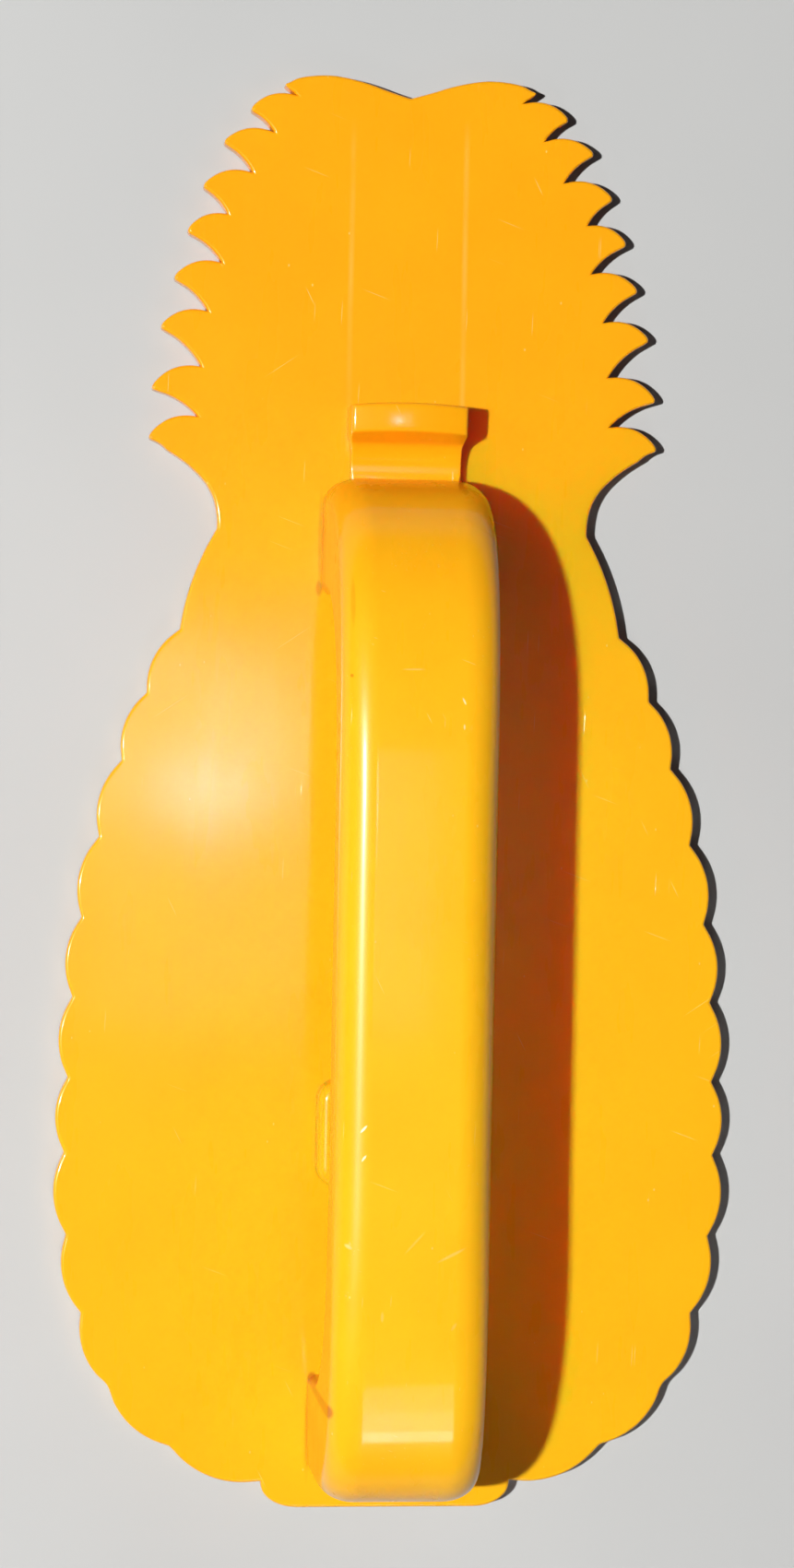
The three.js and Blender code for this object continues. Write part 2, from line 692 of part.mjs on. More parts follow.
function blade() {
  const flat = solidOf(prism(bladeOutline(), bladeBottom, bladeTop));
  const edgeLow = bladeTop - bladeEdgeThickness;
  const flatHalf = bladeHalfWidth - bladeBevelWidth;
  const section = new THREE.Shape([
    new THREE.Vector2(-bladeHalfWidth, edgeLow),
    new THREE.Vector2(-flatHalf, bladeBottom),
    new THREE.Vector2(flatHalf, bladeBottom),
    new THREE.Vector2(bladeHalfWidth, edgeLow),
    new THREE.Vector2(bladeHalfWidth, bladeTop),
    new THREE.Vector2(-bladeHalfWidth, bladeTop),
  ]);
  const ground = alongY(prism(section, -bladeTipY - overrun, overrun - blockRearY));
  const holes = rivetPlaces.map(([, y]) => {
    const foot = rivetFootRadius + threadGap;
    const hole = rivetRadius + threadGap;
    return turned([[0, bladeBottom - overrun], [foot, bladeBottom - overrun], [foot, bladeBottom],
      [hole, bladeBottom + foot - hole], [hole, bladeTop + overrun], [0, bladeTop + overrun]], 0, y);
  });
  return geometryOf(cut(flat.intersect(solidOf(ground)), holes));
}

// Cover strip under the blade.
function bladeCover() {
  const outline = roundedRectangle(-coverHalfWidth, coverHalfWidth, coverTailY, coverFrontY,
    coverCornerRadius);
  const strip = solidOf(prism(outline, 0, coverThickness, cornerSteps));
  return geometryOf(cut(strip, [...footScrewHoles.slice(0, 2), ...guideScrewHoles, ...coverScrewHoles]));
}

// Middle guide over the bar, with the pocket for its spring.

const pocketHalfLength = springLength / 2 + fitGap;
const pocketHalfWidth = springHalfWidth + fitGap;

function middleGuide() {
  const outline = roundedRectangle(-guideHalfWidth, guideHalfWidth, guideRearY,
    guideRearY + guideLength, guideCornerRadius);
  const block = roundTopPrism(outline, plateTop, plateTop + guideHeight, guideEdgeRound, cornerSteps);
  const tunnel = box(-tunnelHalfWidth, tunnelHalfWidth, guideRearY - overrun,
    guideRearY + guideLength + overrun, plateTop - overrun, tunnelTop);
  const pocket = box(-pocketHalfWidth, pocketHalfWidth, guideMiddleY - pocketHalfLength,
    guideMiddleY + pocketHalfLength, tunnelTop - overrun, tunnelTop + springPocketDepth);
  return geometryOf(cut(block, [tunnel, pocket, ...guideScrewHoles]));
}

function frictionSpring() {
  const highZ = tunnelTop + springPocketDepth - fitGap;
  const springBow = highZ - springThickness - tunnelTop;
  const half = springLength / 2;
  const shape = new THREE.Shape();
  shape.moveTo(-half, highZ - springThickness);
  shape.quadraticCurveTo(0, highZ - springThickness - springBow * 2, half, highZ - springThickness);
  shape.lineTo(half, highZ);
  shape.quadraticCurveTo(0, highZ - springBow * 2, -half, highZ);
  return alongX(prism(shape, -springHalfWidth, springHalfWidth)).translate(0, guideMiddleY, 0);
}

// Materials and assembly.

function plastic(color) {
  return new THREE.MeshStandardMaterial({ color, roughness: 0.38, metalness: 0 });
}

function steel(color) {
  return new THREE.MeshStandardMaterial({ color, roughness: 0.3, metalness: 1 });
}

const part = new THREE.Group();

function add(name, geometry, material) {
  const mesh = new THREE.Mesh(geometry, material);
  mesh.name = name;
  part.add(mesh);
}

add('pineapple_plate', plate(), plastic(0xffb81e));
add('handle_shell', handleShell(), plastic(0xffba24));
add('handle_liner', handleLiner(), plastic(0xf5ad1c));
add('thumb_slide', thumbSlide(), plastic(0xffb61c));
add('slide_block', slideBlock(), plastic(0xe9e3d2));
add('blade', blade(), steel(0xc9cdd0));
add('blade_cover', bladeCover(), plastic(0xf7b01c));
add('middle_guide', middleGuide(), plastic(0xffb81e));
add('friction_spring', frictionSpring(), steel(0xa7abb0));
for (const [name, y] of rivetPlaces) {
  add(name, bladeRivet(y), steel(0xb9bdc2));
}
for (const [name, x, y] of handleScrewPlaces) {
  add(name, screw(footScrewRadius, x, y, 0, footScrewLength), steel(0xb4b8bc));
}
for (const [name, x, y] of guideScrewPlaces) {
  add(name, screw(guideScrewRadius, x, y, 0, guideScrewLength), steel(0xb4b8bc));
}
for (const [name, x, y] of coverScrewPlaces) {
  add(name, screw(coverScrewRadius, x, y, 0, coverScrewLength), steel(0xb4b8bc));
}
for (const [name, y] of linerScrewPlaces) {
  add(name, screw(linerScrewRadius, 0, y, gripZ, linerScrewLength), steel(0xb4b8bc));
}

export default part;
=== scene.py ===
"""The looks of a pineapple slicer: amber plastic plate, strap handle and thumb slide, steel blade.

Metres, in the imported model's frame: +Z up, +Y towards the crown, the plate lies on z = 0.
"""

import json
import math

import bpy
from mathutils import Matrix, Vector


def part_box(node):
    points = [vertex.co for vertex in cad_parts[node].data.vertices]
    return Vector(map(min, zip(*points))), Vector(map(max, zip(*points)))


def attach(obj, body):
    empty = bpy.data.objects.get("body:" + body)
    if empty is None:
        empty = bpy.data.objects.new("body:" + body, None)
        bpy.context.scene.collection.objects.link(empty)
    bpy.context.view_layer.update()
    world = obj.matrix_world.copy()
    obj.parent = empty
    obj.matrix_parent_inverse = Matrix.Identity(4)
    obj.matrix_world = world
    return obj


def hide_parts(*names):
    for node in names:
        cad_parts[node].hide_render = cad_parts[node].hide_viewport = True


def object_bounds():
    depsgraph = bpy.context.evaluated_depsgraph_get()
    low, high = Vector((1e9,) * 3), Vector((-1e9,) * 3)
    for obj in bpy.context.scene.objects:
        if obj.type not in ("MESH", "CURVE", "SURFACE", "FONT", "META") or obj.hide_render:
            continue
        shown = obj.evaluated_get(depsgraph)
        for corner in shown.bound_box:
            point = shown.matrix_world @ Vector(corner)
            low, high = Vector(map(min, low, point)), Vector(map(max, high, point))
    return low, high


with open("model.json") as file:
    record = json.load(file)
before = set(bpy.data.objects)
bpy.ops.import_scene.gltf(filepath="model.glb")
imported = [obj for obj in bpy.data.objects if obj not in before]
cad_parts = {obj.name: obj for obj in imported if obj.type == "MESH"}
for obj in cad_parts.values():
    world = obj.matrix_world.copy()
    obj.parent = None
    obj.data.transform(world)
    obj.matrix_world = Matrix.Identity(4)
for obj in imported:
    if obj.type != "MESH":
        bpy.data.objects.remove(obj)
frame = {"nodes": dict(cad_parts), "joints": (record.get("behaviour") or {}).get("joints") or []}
cad_low, cad_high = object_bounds()

MM = 0.001

# The camera, from the outline's symmetry in the photograph of 861 by 1701 pixels.
PHOTO_HEIGHT_PIXELS = 1701
FOCAL_PIXELS = 4018.7
SENSOR = 36
CAMERA_PLACE = Vector((-62.35, 16.32, 560)) * MM
CAMERA_TARGET = Vector((-0.22, 1.82, 3.2)) * MM
CAMERA_ROLL = math.radians(1.079)

# Boxes of the solids that the finer pieces are built from.
plate_low, plate_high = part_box("pineapple_plate")
shell_low, shell_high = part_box("handle_shell")
slide_low, slide_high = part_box("thumb_slide")
guide_low, guide_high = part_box("middle_guide")
cover_low, cover_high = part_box("blade_cover")
blade_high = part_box("blade")[1]
block_low, block_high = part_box("slide_block")
PLATE_TOP = plate_high.z
TRAVEL = frame["joints"][0]["range_m"][1]

# Clearances, and how far a cutter runs past what it cuts.
SLIDE_GAP = 0.3 * MM
FIT_GAP = 0.3 * MM
THREAD_GAP = 0.15 * MM
STOP_GAP = 0.4 * MM
OVERRUN = 2 * MM

# Fineness: sides of a drilled hole, steps of a corner, and the angles from which edges stay sharp.
HOLE_SIDES = 32
CORNER_STEPS = 10
EDGE_STEPS = 5
PIECE_SHARP = math.radians(40)
SOLID_SHARP = math.radians(35)

# A countersunk screw's head radius over that of its shank.
SCREW_HEAD_SHARE = 1.9

# Plate.
SOLID_BEVEL = 0.4 * MM
PLATE_ROUND = 0.45 * MM
COVER_CORNER = 3 * MM

# Plate outline: how near two heights count as one, from which angle a notch stays sharp and from
# which length an edge stays straight, steps between two points of the solid, and how the rounding
# of the rim fades towards a pointed tip.
SAME_LEVEL = 0.002 * MM
SHARP_NOTCH = math.radians(25)
LONG_EDGE = 6 * MM
OUTLINE_STEPS = 4
TIP_ROUND_SHARE = 0.85
ROUND_GROWTH = 0.3
MITRE_LIMIT = 0.6

# Handle: a strap on two feet, between an outer line and a grip line.
FRONT_FOOT = 17.5 * MM
REAR_FOOT = 16.4 * MM
BEAM_DEPTH = 9.8 * MM
FOOT_HALF_WIDTH = shell_high.x
TOP_HALF_WIDTH = 11.4 * MM
OUTER_FILLET = 4 * MM
OUTER_FILLET_STRETCH = 1.3
INNER_FILLET = 1.6 * MM
END_RUN = 50 * MM
HANDLE_END_STEPS = 48
HANDLE_HEIGHT = shell_high.z - PLATE_TOP

# How square the ends of the strap are, along it and upwards: 2 is a round, more is squarer.
FRONT_SQUARENESS = (3, 2.6)
REAR_SQUARENESS = (3, 5.4)
GRIP_SQUARENESS = (3, 3)

# The ends of the strap: outer end, length of the foot, length of the curve, and squareness.
HANDLE_ENDS = {
    "front": (shell_high.y, FRONT_FOOT, END_RUN, FRONT_SQUARENESS),
    "rear": (shell_low.y, -REAR_FOOT, -END_RUN, REAR_SQUARENESS),
}

# Handle inside.
SHELL_WALL = 2.4 * MM
LINER_THICKNESS = 2.2 * MM
CAVITY_END_SHARE = 0.56
LINER_END_SHARE = 0.585
CAVITY_ROUND = 1 * MM
CAVITY_STEPS = 3
LINER_STEPS = 4
LINER_BOSS_RADIUS = 3 * MM

# Thumb slide: a flat bar, a scoop and a raised lip.
BAR_HALF_WIDTH = 8.3 * MM
BAR_THICKNESS = 2 * MM
BAR_EDGE_ROUND = 0.2 * MM
BAR_END_RADIUS = 2 * MM
LIP_HALF_WIDTH = slide_high.x
LIP_TOP = slide_high.z
LIP_TOP_LENGTH = 4.2 * MM
LIP_SLOPE_RUN = 1.6 * MM
SLOPE_FOOT_Z = PLATE_TOP + 3.8 * MM
LIP_SCOOP_RUN = 5 * MM
LIP_SCOOP_BEND = 2.8
LIP_TOP_RADIUS = 46 * MM
LIP_EDGE_ROUND = 0.5 * MM
LIP_SOFTNESS = 0.35 * MM
LIP_BOW = 0.45 * MM
RIVET_HOLE_RADIUS = 1.35 * MM

# The slide starts to widen this far before the slope, and fine steps go on this far past it.
LIP_WIDEN_RUN = 1 * MM
LIP_CREST_RUN = 0.8 * MM

# The bar's heights, and the tunnels around it.
BAR_BOTTOM = slide_low.z
BAR_TOP = BAR_BOTTOM + BAR_THICKNESS
TUNNEL_TOP = BAR_TOP + SLIDE_GAP
TUNNEL_HALF_WIDTH = BAR_HALF_WIDTH + SLIDE_GAP

# The lip's top sinks towards its ends, slowly and then fast at the last, as shares of its height.
CROWN_SINK_SHARE = 0.093
CORNER_SINK_SHARE = 0.117
CORNER_BEND = 90

# Places on the slide, in Y.
SLOPE_FOOT_Y = slide_high.y - LIP_TOP_LENGTH - LIP_SLOPE_RUN
SCOOP_REAR_Y = SLOPE_FOOT_Y - LIP_SCOOP_RUN
STEEP_FROM_Y = SLOPE_FOOT_Y - LIP_WIDEN_RUN
STEEP_TO_Y = SLOPE_FOOT_Y + LIP_SLOPE_RUN + LIP_CREST_RUN

# Fineness of the slide: across it, at its round ends, and along bar, scoop, slope and lip.
SLIDE_COLUMNS = 56
SLIDE_END_STEPS = 6
BAR_STEPS = 12
SCOOP_STEPS = 14
SLOPE_STEPS = 26
LIP_STEPS = 8

# Middle guide.
GUIDE_CORNER = 3 * MM
GUIDE_ROUND = 1.6 * MM
GUIDE_STEPS = 7


# Meshes.


def piece_from(name, vertices, faces):
    """A new object with this mesh, its faces pointing out."""
    mesh = bpy.data.meshes.new(name)
    mesh.from_pydata([tuple(v) for v in vertices], [], faces)
    mesh.validate()
    mesh.update()
    piece = bpy.data.objects.new(name, mesh)
    bpy.context.scene.collection.objects.link(piece)
    return piece


def skin(name, rings):
    """A closed skin through rings of equal length, with a flat face on each end."""
    count = len(rings[0])
    vertices = [point for ring in rings for point in ring]
    faces = []
    for row in range(len(rings) - 1):
        for i in range(count):
            a = row * count + i
            b = row * count + (i + 1) % count
            faces.append((a, b, b + count, a + count))
    last = (len(rings) - 1) * count
    faces.append(tuple(reversed(range(count))))
    faces.append(tuple(range(last, last + count)))
    return piece_from(name, vertices, faces)


def box_cutter(low, high):
    """A block between two corners, for cutting only."""
    corners = ((low[0], low[1]), (high[0], low[1]), (high[0], high[1]), (low[0], high[1]))
    return skin("cutter", [[Vector((x, y, z)) for x, y in corners] for z in (low[2], high[2])])


def rod_cutter(x, y, stations):
    """A turned body about an upright axis, from (radius, z) stations, for cutting and joining."""
    angles = [math.tau * i / HOLE_SIDES for i in range(HOLE_SIDES)]
    rings = []
    for radius, z in stations:
        rings.append([Vector((x + radius * math.cos(a), y + radius * math.sin(a), z)) for a in angles])
    return skin("cutter", rings)


def combine(piece, tools, operation):
    """Cuts the tools out of the piece or joins them to it, and removes the tools."""
    for tool in tools:
        modifier = piece.modifiers.new("tool", "BOOLEAN")
        modifier.operation = operation
        modifier.solver = "MANIFOLD"
        modifier.object = tool
    bpy.context.view_layer.update()
    graph = bpy.context.evaluated_depsgraph_get()
    made = bpy.data.meshes.new_from_object(piece.evaluated_get(graph))
    piece.modifiers.clear()
    piece.data = made
    for tool in tools:
        bpy.data.objects.remove(tool)


def carve(piece, cutters):
    """Cuts the cutters out of the piece and removes them."""
    combine(piece, cutters, "DIFFERENCE")


def shade(piece):
    """Smooth faces with sharp edges kept, flat faces staying flat."""
    mesh = piece.data
    mesh.polygons.foreach_set("use_smooth", [True] * len(mesh.polygons))
    mesh.set_sharp_from_angle(angle=PIECE_SHARP)
    weighted = piece.modifiers.new("weighted", "WEIGHTED_NORMAL")
    weighted.keep_sharp = True
    weighted.weight = 100


def rounded_rectangle(low_x, high_x, low_y, high_y, radius):
    """Points of a rectangle with round corners, anticlockwise."""
    centres = (
        (high_x - radius, low_y + radius, -90),
        (high_x - radius, high_y - radius, 0),
        (low_x + radius, high_y - radius, 90),
        (low_x + radius, low_y + radius, 180),
    )
    points = []
    for x, y, start in centres:
        for i in range(CORNER_STEPS + 1):
            angle = math.radians(start + 90 * i / CORNER_STEPS)
            points.append(Vector((x + radius * math.cos(angle), y + radius * math.sin(angle))))
    return points


# Plate outline: the solid's own corner points, with smooth curves between the sharp notches.


def loop_at(node, height):
    """The solid's closed line of edges at one height, as points in order, anticlockwise."""
    mesh = frame["nodes"][node].data
    places = [tuple(round(c, 6) for c in vertex.co) for vertex in mesh.vertices]
    neighbours = {}
    for polygon in mesh.polygons:
        corners = [places[i] for i in polygon.vertices]
        for a, b in zip(corners, corners[1:] + corners[:1]):
            if a != b and max(abs(a[2] - height), abs(b[2] - height)) < SAME_LEVEL:
                neighbours.setdefault(a, set()).add(b)
                neighbours.setdefault(b, set()).add(a)
    start = max(neighbours, key=lambda place: place[1])
    line = [start]
    previous, current = None, start
    while True:
        ahead = [n for n in neighbours[current] if n != previous]
        previous, current = current, ahead[0]
        if current == start:
            break
        line.append(current)
    points = [Vector(place[:2]) for place in line]
    area = sum(a.x * b.y - b.x * a.y for a, b in zip(points, points[1:] + points[:1]))
    return points if area > 0 else points[::-1]


def turn_at(points, i):
    """The angle that a closed line turns by at one point, positive where it is convex."""
    before = points[i] - points[i - 1]
    after = points[(i + 1) % len(points)] - points[i]
    return math.atan2(before.x * after.y - before.y * after.x, before.dot(after))


def curve_between(p0, p1, p2, p3, share):
    """A point between p1 and p2 on the centripetal curve through four points."""
    knots = [0]
    for a, b in ((p0, p1), (p1, p2), (p2, p3)):
        knots.append(knots[-1] + math.sqrt((b - a).length))
    t = knots[1] + (knots[2] - knots[1]) * share

    def blend(a, b, low, high):
        return a.lerp(b, (t - low) / (high - low))

    a1 = blend(p0, p1, knots[0], knots[1])
    a2 = blend(p1, p2, knots[1], knots[2])
    a3 = blend(p2, p3, knots[2], knots[3])
    b1 = blend(a1, a2, knots[0], knots[2])
    b2 = blend(a2, a3, knots[1], knots[3])
    return blend(b1, b2, knots[1], knots[2])


def smooth_outline(points, steps):
    """A finer closed line that stays sharp at concave notches and straight on long edges."""
    count = len(points)
    sharp = [turn_at(points, i) < -SHARP_NOTCH for i in range(count)]
    fine = []
    for i in range(count):
        here, after = points[i], points[(i + 1) % count]
        fine.append(here)
        if (after - here).length > LONG_EDGE:
            continue
        before = here * 2 - after if sharp[i] else points[i - 1]
        beyond = after * 2 - here if sharp[(i + 1) % count] else points[(i + 2) % count]
        for step in range(1, steps):
            fine.append(curve_between(before, here, after, beyond, step / steps))
    return fine


def edge_rounds(points, limit):
    """For each point of a closed line, the rounding up to a limit that its convex tips leave room for."""
    count = len(points)
    rounds = []
    for i in range(count):
        turn = turn_at(points, i)
        reach = min((points[i] - points[i - 1]).length, (points[(i + 1) % count] - points[i]).length)
        rounds.append(min(limit, TIP_ROUND_SHARE * reach / turn) if turn > 0 else limit)
    for step in (1, -1):
        for i in range(0, 2 * count * step, step):
            here, last = i % count, (i - step) % count
            gap = (points[here] - points[last]).length
            rounds[here] = min(rounds[here], rounds[last] + gap * ROUND_GROWTH)
    return rounds


def inset(points, distances):
    """The closed line moved inwards, each point by its own distance."""
    moved = []
    count = len(points)
    for i in range(count):
        before = (points[i] - points[i - 1]).normalized()
        after = (points[(i + 1) % count] - points[i]).normalized()
        normal = Vector((before.y + after.y, -before.x - after.x)).normalized()
        stretch = 1 / max(normal.dot(Vector((after.y, -after.x))), MITRE_LIMIT)
        moved.append(points[i] - normal * distances[i] * stretch)
    return moved


def rounded_slab(name, outline, low, high, low_round, high_round, steps=EDGE_STEPS):
    """A slab with this outline and with round lower and upper edges."""
    rings = []
    for level, limit, side in ((low, low_round, 1), (high, high_round, -1)):
        rounds = edge_rounds(outline, limit)
        for i in range(steps + 1):
            angle = math.pi / 2 * (i if side > 0 else steps - i) / steps
            line = inset(outline, [r * (1 - math.sin(angle)) for r in rounds])
            rise = side * (1 - math.cos(angle))
            rings.append([Vector((p.x, p.y, level + rise * r)) for p, r in zip(line, rounds)])
    return skin(name, rings)


def screw_holes(prefix):
    """Room for the countersunk screws whose names start like this."""
    holes = []
    for name in sorted(frame["nodes"]):
        if not name.startswith(prefix):
            continue
        low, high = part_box(name)
        middle = (low + high) / 2
        head = (high.y - low.y) / 2
        shank = head / SCREW_HEAD_SHARE
        holes.append(rod_cutter(middle.x, middle.y, [
            (head + THREAD_GAP, low.z - OVERRUN),
            (head + THREAD_GAP, low.z),
            (shank + THREAD_GAP, low.z + head - shank),
            (shank + THREAD_GAP, high.z + THREAD_GAP),
        ]))
    return holes


def make_plate():
    """The plate with its channel and slot, the cover's seat and the holes for the screws."""
    outline = smooth_outline(loop_at("pineapple_plate", plate_high.z - SOLID_BEVEL), OUTLINE_STEPS)
    plate = rounded_slab("guard_plate", outline, plate_low.z, plate_high.z, PLATE_ROUND, PLATE_ROUND)
    seat = rounded_rectangle(
        cover_low.x - FIT_GAP, cover_high.x + FIT_GAP, cover_low.y - FIT_GAP, cover_high.y + FIT_GAP,
        COVER_CORNER + FIT_GAP)
    seat_rings = [[p.to_3d() + Vector((0, 0, z)) for p in seat] for z in (-OVERRUN, cover_high.z)]
    channel_half = blade_high.x + SLIDE_GAP
    channel_top = blade_high.z + SLIDE_GAP
    channel_rear = block_low.y - STOP_GAP
    slot_half = block_high.x + SLIDE_GAP
    slot_front = block_high.y + TRAVEL + STOP_GAP
    carve(plate, [
        skin("cutter", seat_rings),
        box_cutter((-channel_half, channel_rear, -OVERRUN), (channel_half, cover_high.y, channel_top)),
        box_cutter((-channel_half, cover_high.y - OVERRUN, -OVERRUN),
                   (channel_half, plate_high.y + OVERRUN, channel_top)),
        box_cutter((-slot_half, channel_rear, 0), (slot_half, slot_front, PLATE_TOP + OVERRUN)),
        *screw_holes("handle_screw"),
        *screw_holes("guide_screw"),
        *screw_holes("cover_screw"),
    ])
    return plate


# Handle.


def quarter_point(start_y, run, rise, squareness, share):
    """A point on a quarter of a superellipse, as (y, z)."""
    angle = share * math.pi / 2
    left = max(math.cos(angle), 0) ** (2 / squareness[0])
    climbed = math.sin(angle) ** (2 / squareness[1])
    return Vector((start_y - run * (1 - left), PLATE_TOP + rise * climbed))


def handle_station(end, share):
    """The outer and the grip point of one section of the handle."""
    tip, foot, run, squareness = HANDLE_ENDS[end]
    outer = quarter_point(tip, run, HANDLE_HEIGHT, squareness, share)
    inner = quarter_point(tip - foot, run - foot, HANDLE_HEIGHT - BEAM_DEPTH, GRIP_SQUARENESS, share)
    return outer, inner


def handle_half_width(z):
    """Half the strap's width at a height: it narrows towards its top."""
    rise = (z - PLATE_TOP) / HANDLE_HEIGHT
    return FOOT_HALF_WIDTH + (TOP_HALF_WIDTH - FOOT_HALF_WIDTH) * rise


def handle_ring(outer, inner, from_depth, to_depth, margin, inner_radius, outer_radius, stretch, steps):
    """One section between two depths from the grip point, with rounded corners.

    The margin is kept from the strap's sides. The stretch makes the outer corners wider than deep.
    """
    direction = (outer - inner).normalized()

    def corner(side, radius, across, depth, sign):
        """A rounded corner on one side, from the face at this depth to the strap's side."""
        arc = []
        for i in range(steps + 1):
            angle = math.pi / 2 * i / steps
            along = depth + sign * radius * (1 - math.sin(angle))
            point = inner + direction * along
            reach = handle_half_width(point.y) - margin - across * (1 - math.cos(angle))
            arc.append(Vector((side * reach, point.x, point.y)))
        return arc

    return [
        *corner(-1, inner_radius, inner_radius, from_depth, 1),
        *reversed(corner(1, inner_radius, inner_radius, from_depth, 1)),
        *corner(1, outer_radius, outer_radius * stretch, to_depth, -1),
        *reversed(corner(-1, outer_radius, outer_radius * stretch, to_depth, -1)),
    ]


def handle_skin(name, start_share, depths, margin, inner_radius, outer_radius, stretch=1,
                corner_steps=CORNER_STEPS):
    """A skin along the strap, from a share of the front end's curve to the same share of the rear's.

    The function depths gives each section's two depths from its outer and its grip point.
    """
    rings = []
    steps = math.ceil(HANDLE_END_STEPS * (1 - start_share))
    shares = [start_share + (1 - start_share) * i / steps for i in range(steps + 1)]
    for end, line in (("front", shares), ("rear", shares[::-1])):
        for share in line:
            outer, inner = handle_station(end, share)
            rings.append(handle_ring(
                outer, inner, *depths(outer, inner), margin, inner_radius, outer_radius, stretch,
                corner_steps))
    return skin(name, rings)


def full_depths(outer, inner):
    """From the grip line to the outer line."""
    return 0, (outer - inner).length


def cavity_depths(outer, inner):
    """From past the grip line to the wall under the outer line."""
    return -OVERRUN, (outer - inner).length - SHELL_WALL


def liner_depths(outer, inner):
    """One layer on the grip line, wherever the outer line lies."""
    return 0, LINER_THICKNESS


def make_handle():
    """The strap on its two feet: hollow from below, with tunnels for the bar and the screws' bosses."""
    shell = handle_skin(
        "strap_handle", 0, full_depths, 0, INNER_FILLET, OUTER_FILLET, OUTER_FILLET_STRETCH)
    hollow = handle_skin(
        "cutter", CAVITY_END_SHARE, cavity_depths, SHELL_WALL, CAVITY_ROUND, CAVITY_ROUND,
        corner_steps=CAVITY_STEPS)
    tail = slide_low.y - SLIDE_GAP
    rear_grip = shell_low.y + REAR_FOOT
    tunnels = [
        box_cutter((-TUNNEL_HALF_WIDTH, shell_high.y - FRONT_FOOT - OVERRUN, PLATE_TOP - OVERRUN),
                   (TUNNEL_HALF_WIDTH, shell_high.y + OVERRUN, TUNNEL_TOP)),
        box_cutter((-TUNNEL_HALF_WIDTH, tail, PLATE_TOP - OVERRUN),
                   (TUNNEL_HALF_WIDTH, rear_grip + OVERRUN, TUNNEL_TOP)),
    ]
    carve(shell, [hollow])
    bosses = []
    for name in ("liner_screw_front", "liner_screw_rear"):
        low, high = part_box(name)
        bosses.append(rod_cutter(0, (low.y + high.y) / 2, [
            (LINER_BOSS_RADIUS, shell_high.z - BEAM_DEPTH + LINER_THICKNESS + FIT_GAP),
            (LINER_BOSS_RADIUS, shell_high.z - SHELL_WALL / 2),
        ]))
    combine(shell, bosses, "UNION")
    carve(shell, [*tunnels, *screw_holes("handle_screw"), *screw_holes("liner_screw")])
    return shell


def make_liner():
    """The strip that closes the strap's hollow towards the fingers."""
    liner = handle_skin(
        "grip_liner", LINER_END_SHARE, liner_depths, SHELL_WALL + FIT_GAP, CAVITY_ROUND, CAVITY_ROUND,
        corner_steps=LINER_STEPS)
    carve(liner, screw_holes("liner_screw"))
    return liner


# Thumb slide: a height field over its own plan, closed by walls and a flat underside.


def lip_crown(share):
    """Height of the lip's top over the plate at a share of its half width, as a share."""
    return 1 - CROWN_SINK_SHARE * share ** 2 - CORNER_SINK_SHARE * share ** CORNER_BEND


def lip_rear(y):
    """Height of the slide's top along its middle: the bar, a scoop and the lip's steep rear slope."""
    climbed = max(y - SCOOP_REAR_Y, 0) / LIP_SCOOP_RUN
    scoop = BAR_TOP + (SLOPE_FOOT_Z - BAR_TOP) * climbed ** LIP_SCOOP_BEND
    slope = SLOPE_FOOT_Z + (LIP_TOP - SLOPE_FOOT_Z) * (y - SLOPE_FOOT_Y) / LIP_SLOPE_RUN
    apart = math.hypot(scoop - slope, LIP_SOFTNESS)
    return (min(scoop, LIP_TOP) + slope + apart) / 2 if slope > BAR_BOTTOM else scoop


def bar_edge(x, half):
    """How far the rounded long edges of the bar lie under its top at x."""
    beyond = max(abs(x) - (half - BAR_EDGE_ROUND), 0)
    return BAR_EDGE_ROUND - math.sqrt(max(BAR_EDGE_ROUND ** 2 - beyond ** 2, 0))


def slide_height(x, y, share, half):
    """Height of the slide's top: its rear line, held under the domed top of the lip."""
    dome = PLATE_TOP + (LIP_TOP - PLATE_TOP) * lip_crown(abs(share))
    dome -= max(slide_high.y - y, 0) ** 2 / LIP_TOP_RADIUS / 2
    rear = lip_rear(y)
    return (rear + dome - math.hypot(rear - dome, LIP_SOFTNESS)) / 2 - bar_edge(x, half)


def spaced(start, end, steps):
    """Evenly spaced places from start towards end, without end itself."""
    return [start + (end - start) * i / steps for i in range(steps)]


def slide_ring(y, narrowing, drop):
    """One section of the slide: its top in columns, and a flat underside."""
    widen = min(max((y - STEEP_FROM_Y) / (LIP_SLOPE_RUN + LIP_WIDEN_RUN), 0), 1)
    widen = widen * widen * (3 - 2 * widen)
    half = BAR_HALF_WIDTH + (LIP_HALF_WIDTH - BAR_HALF_WIDTH) * widen - narrowing
    bow = LIP_BOW * min(max((y - SLOPE_FOOT_Y - LIP_SLOPE_RUN) / LIP_TOP_LENGTH, 0), 1)
    ring = []
    for i in range(SLIDE_COLUMNS + 1):
        share = math.sin(math.pi / 2 * (2 * i / SLIDE_COLUMNS - 1))
        z = slide_height(share * half, y, share, half) - drop
        z = max(z, BAR_BOTTOM + BAR_EDGE_ROUND)
        ring.append(Vector((share * half, y - bow * share ** 2, z)))
    ring.append(Vector((half, y - bow, BAR_BOTTOM)))
    ring.append(Vector((-half, y - bow, BAR_BOTTOM)))
    return ring


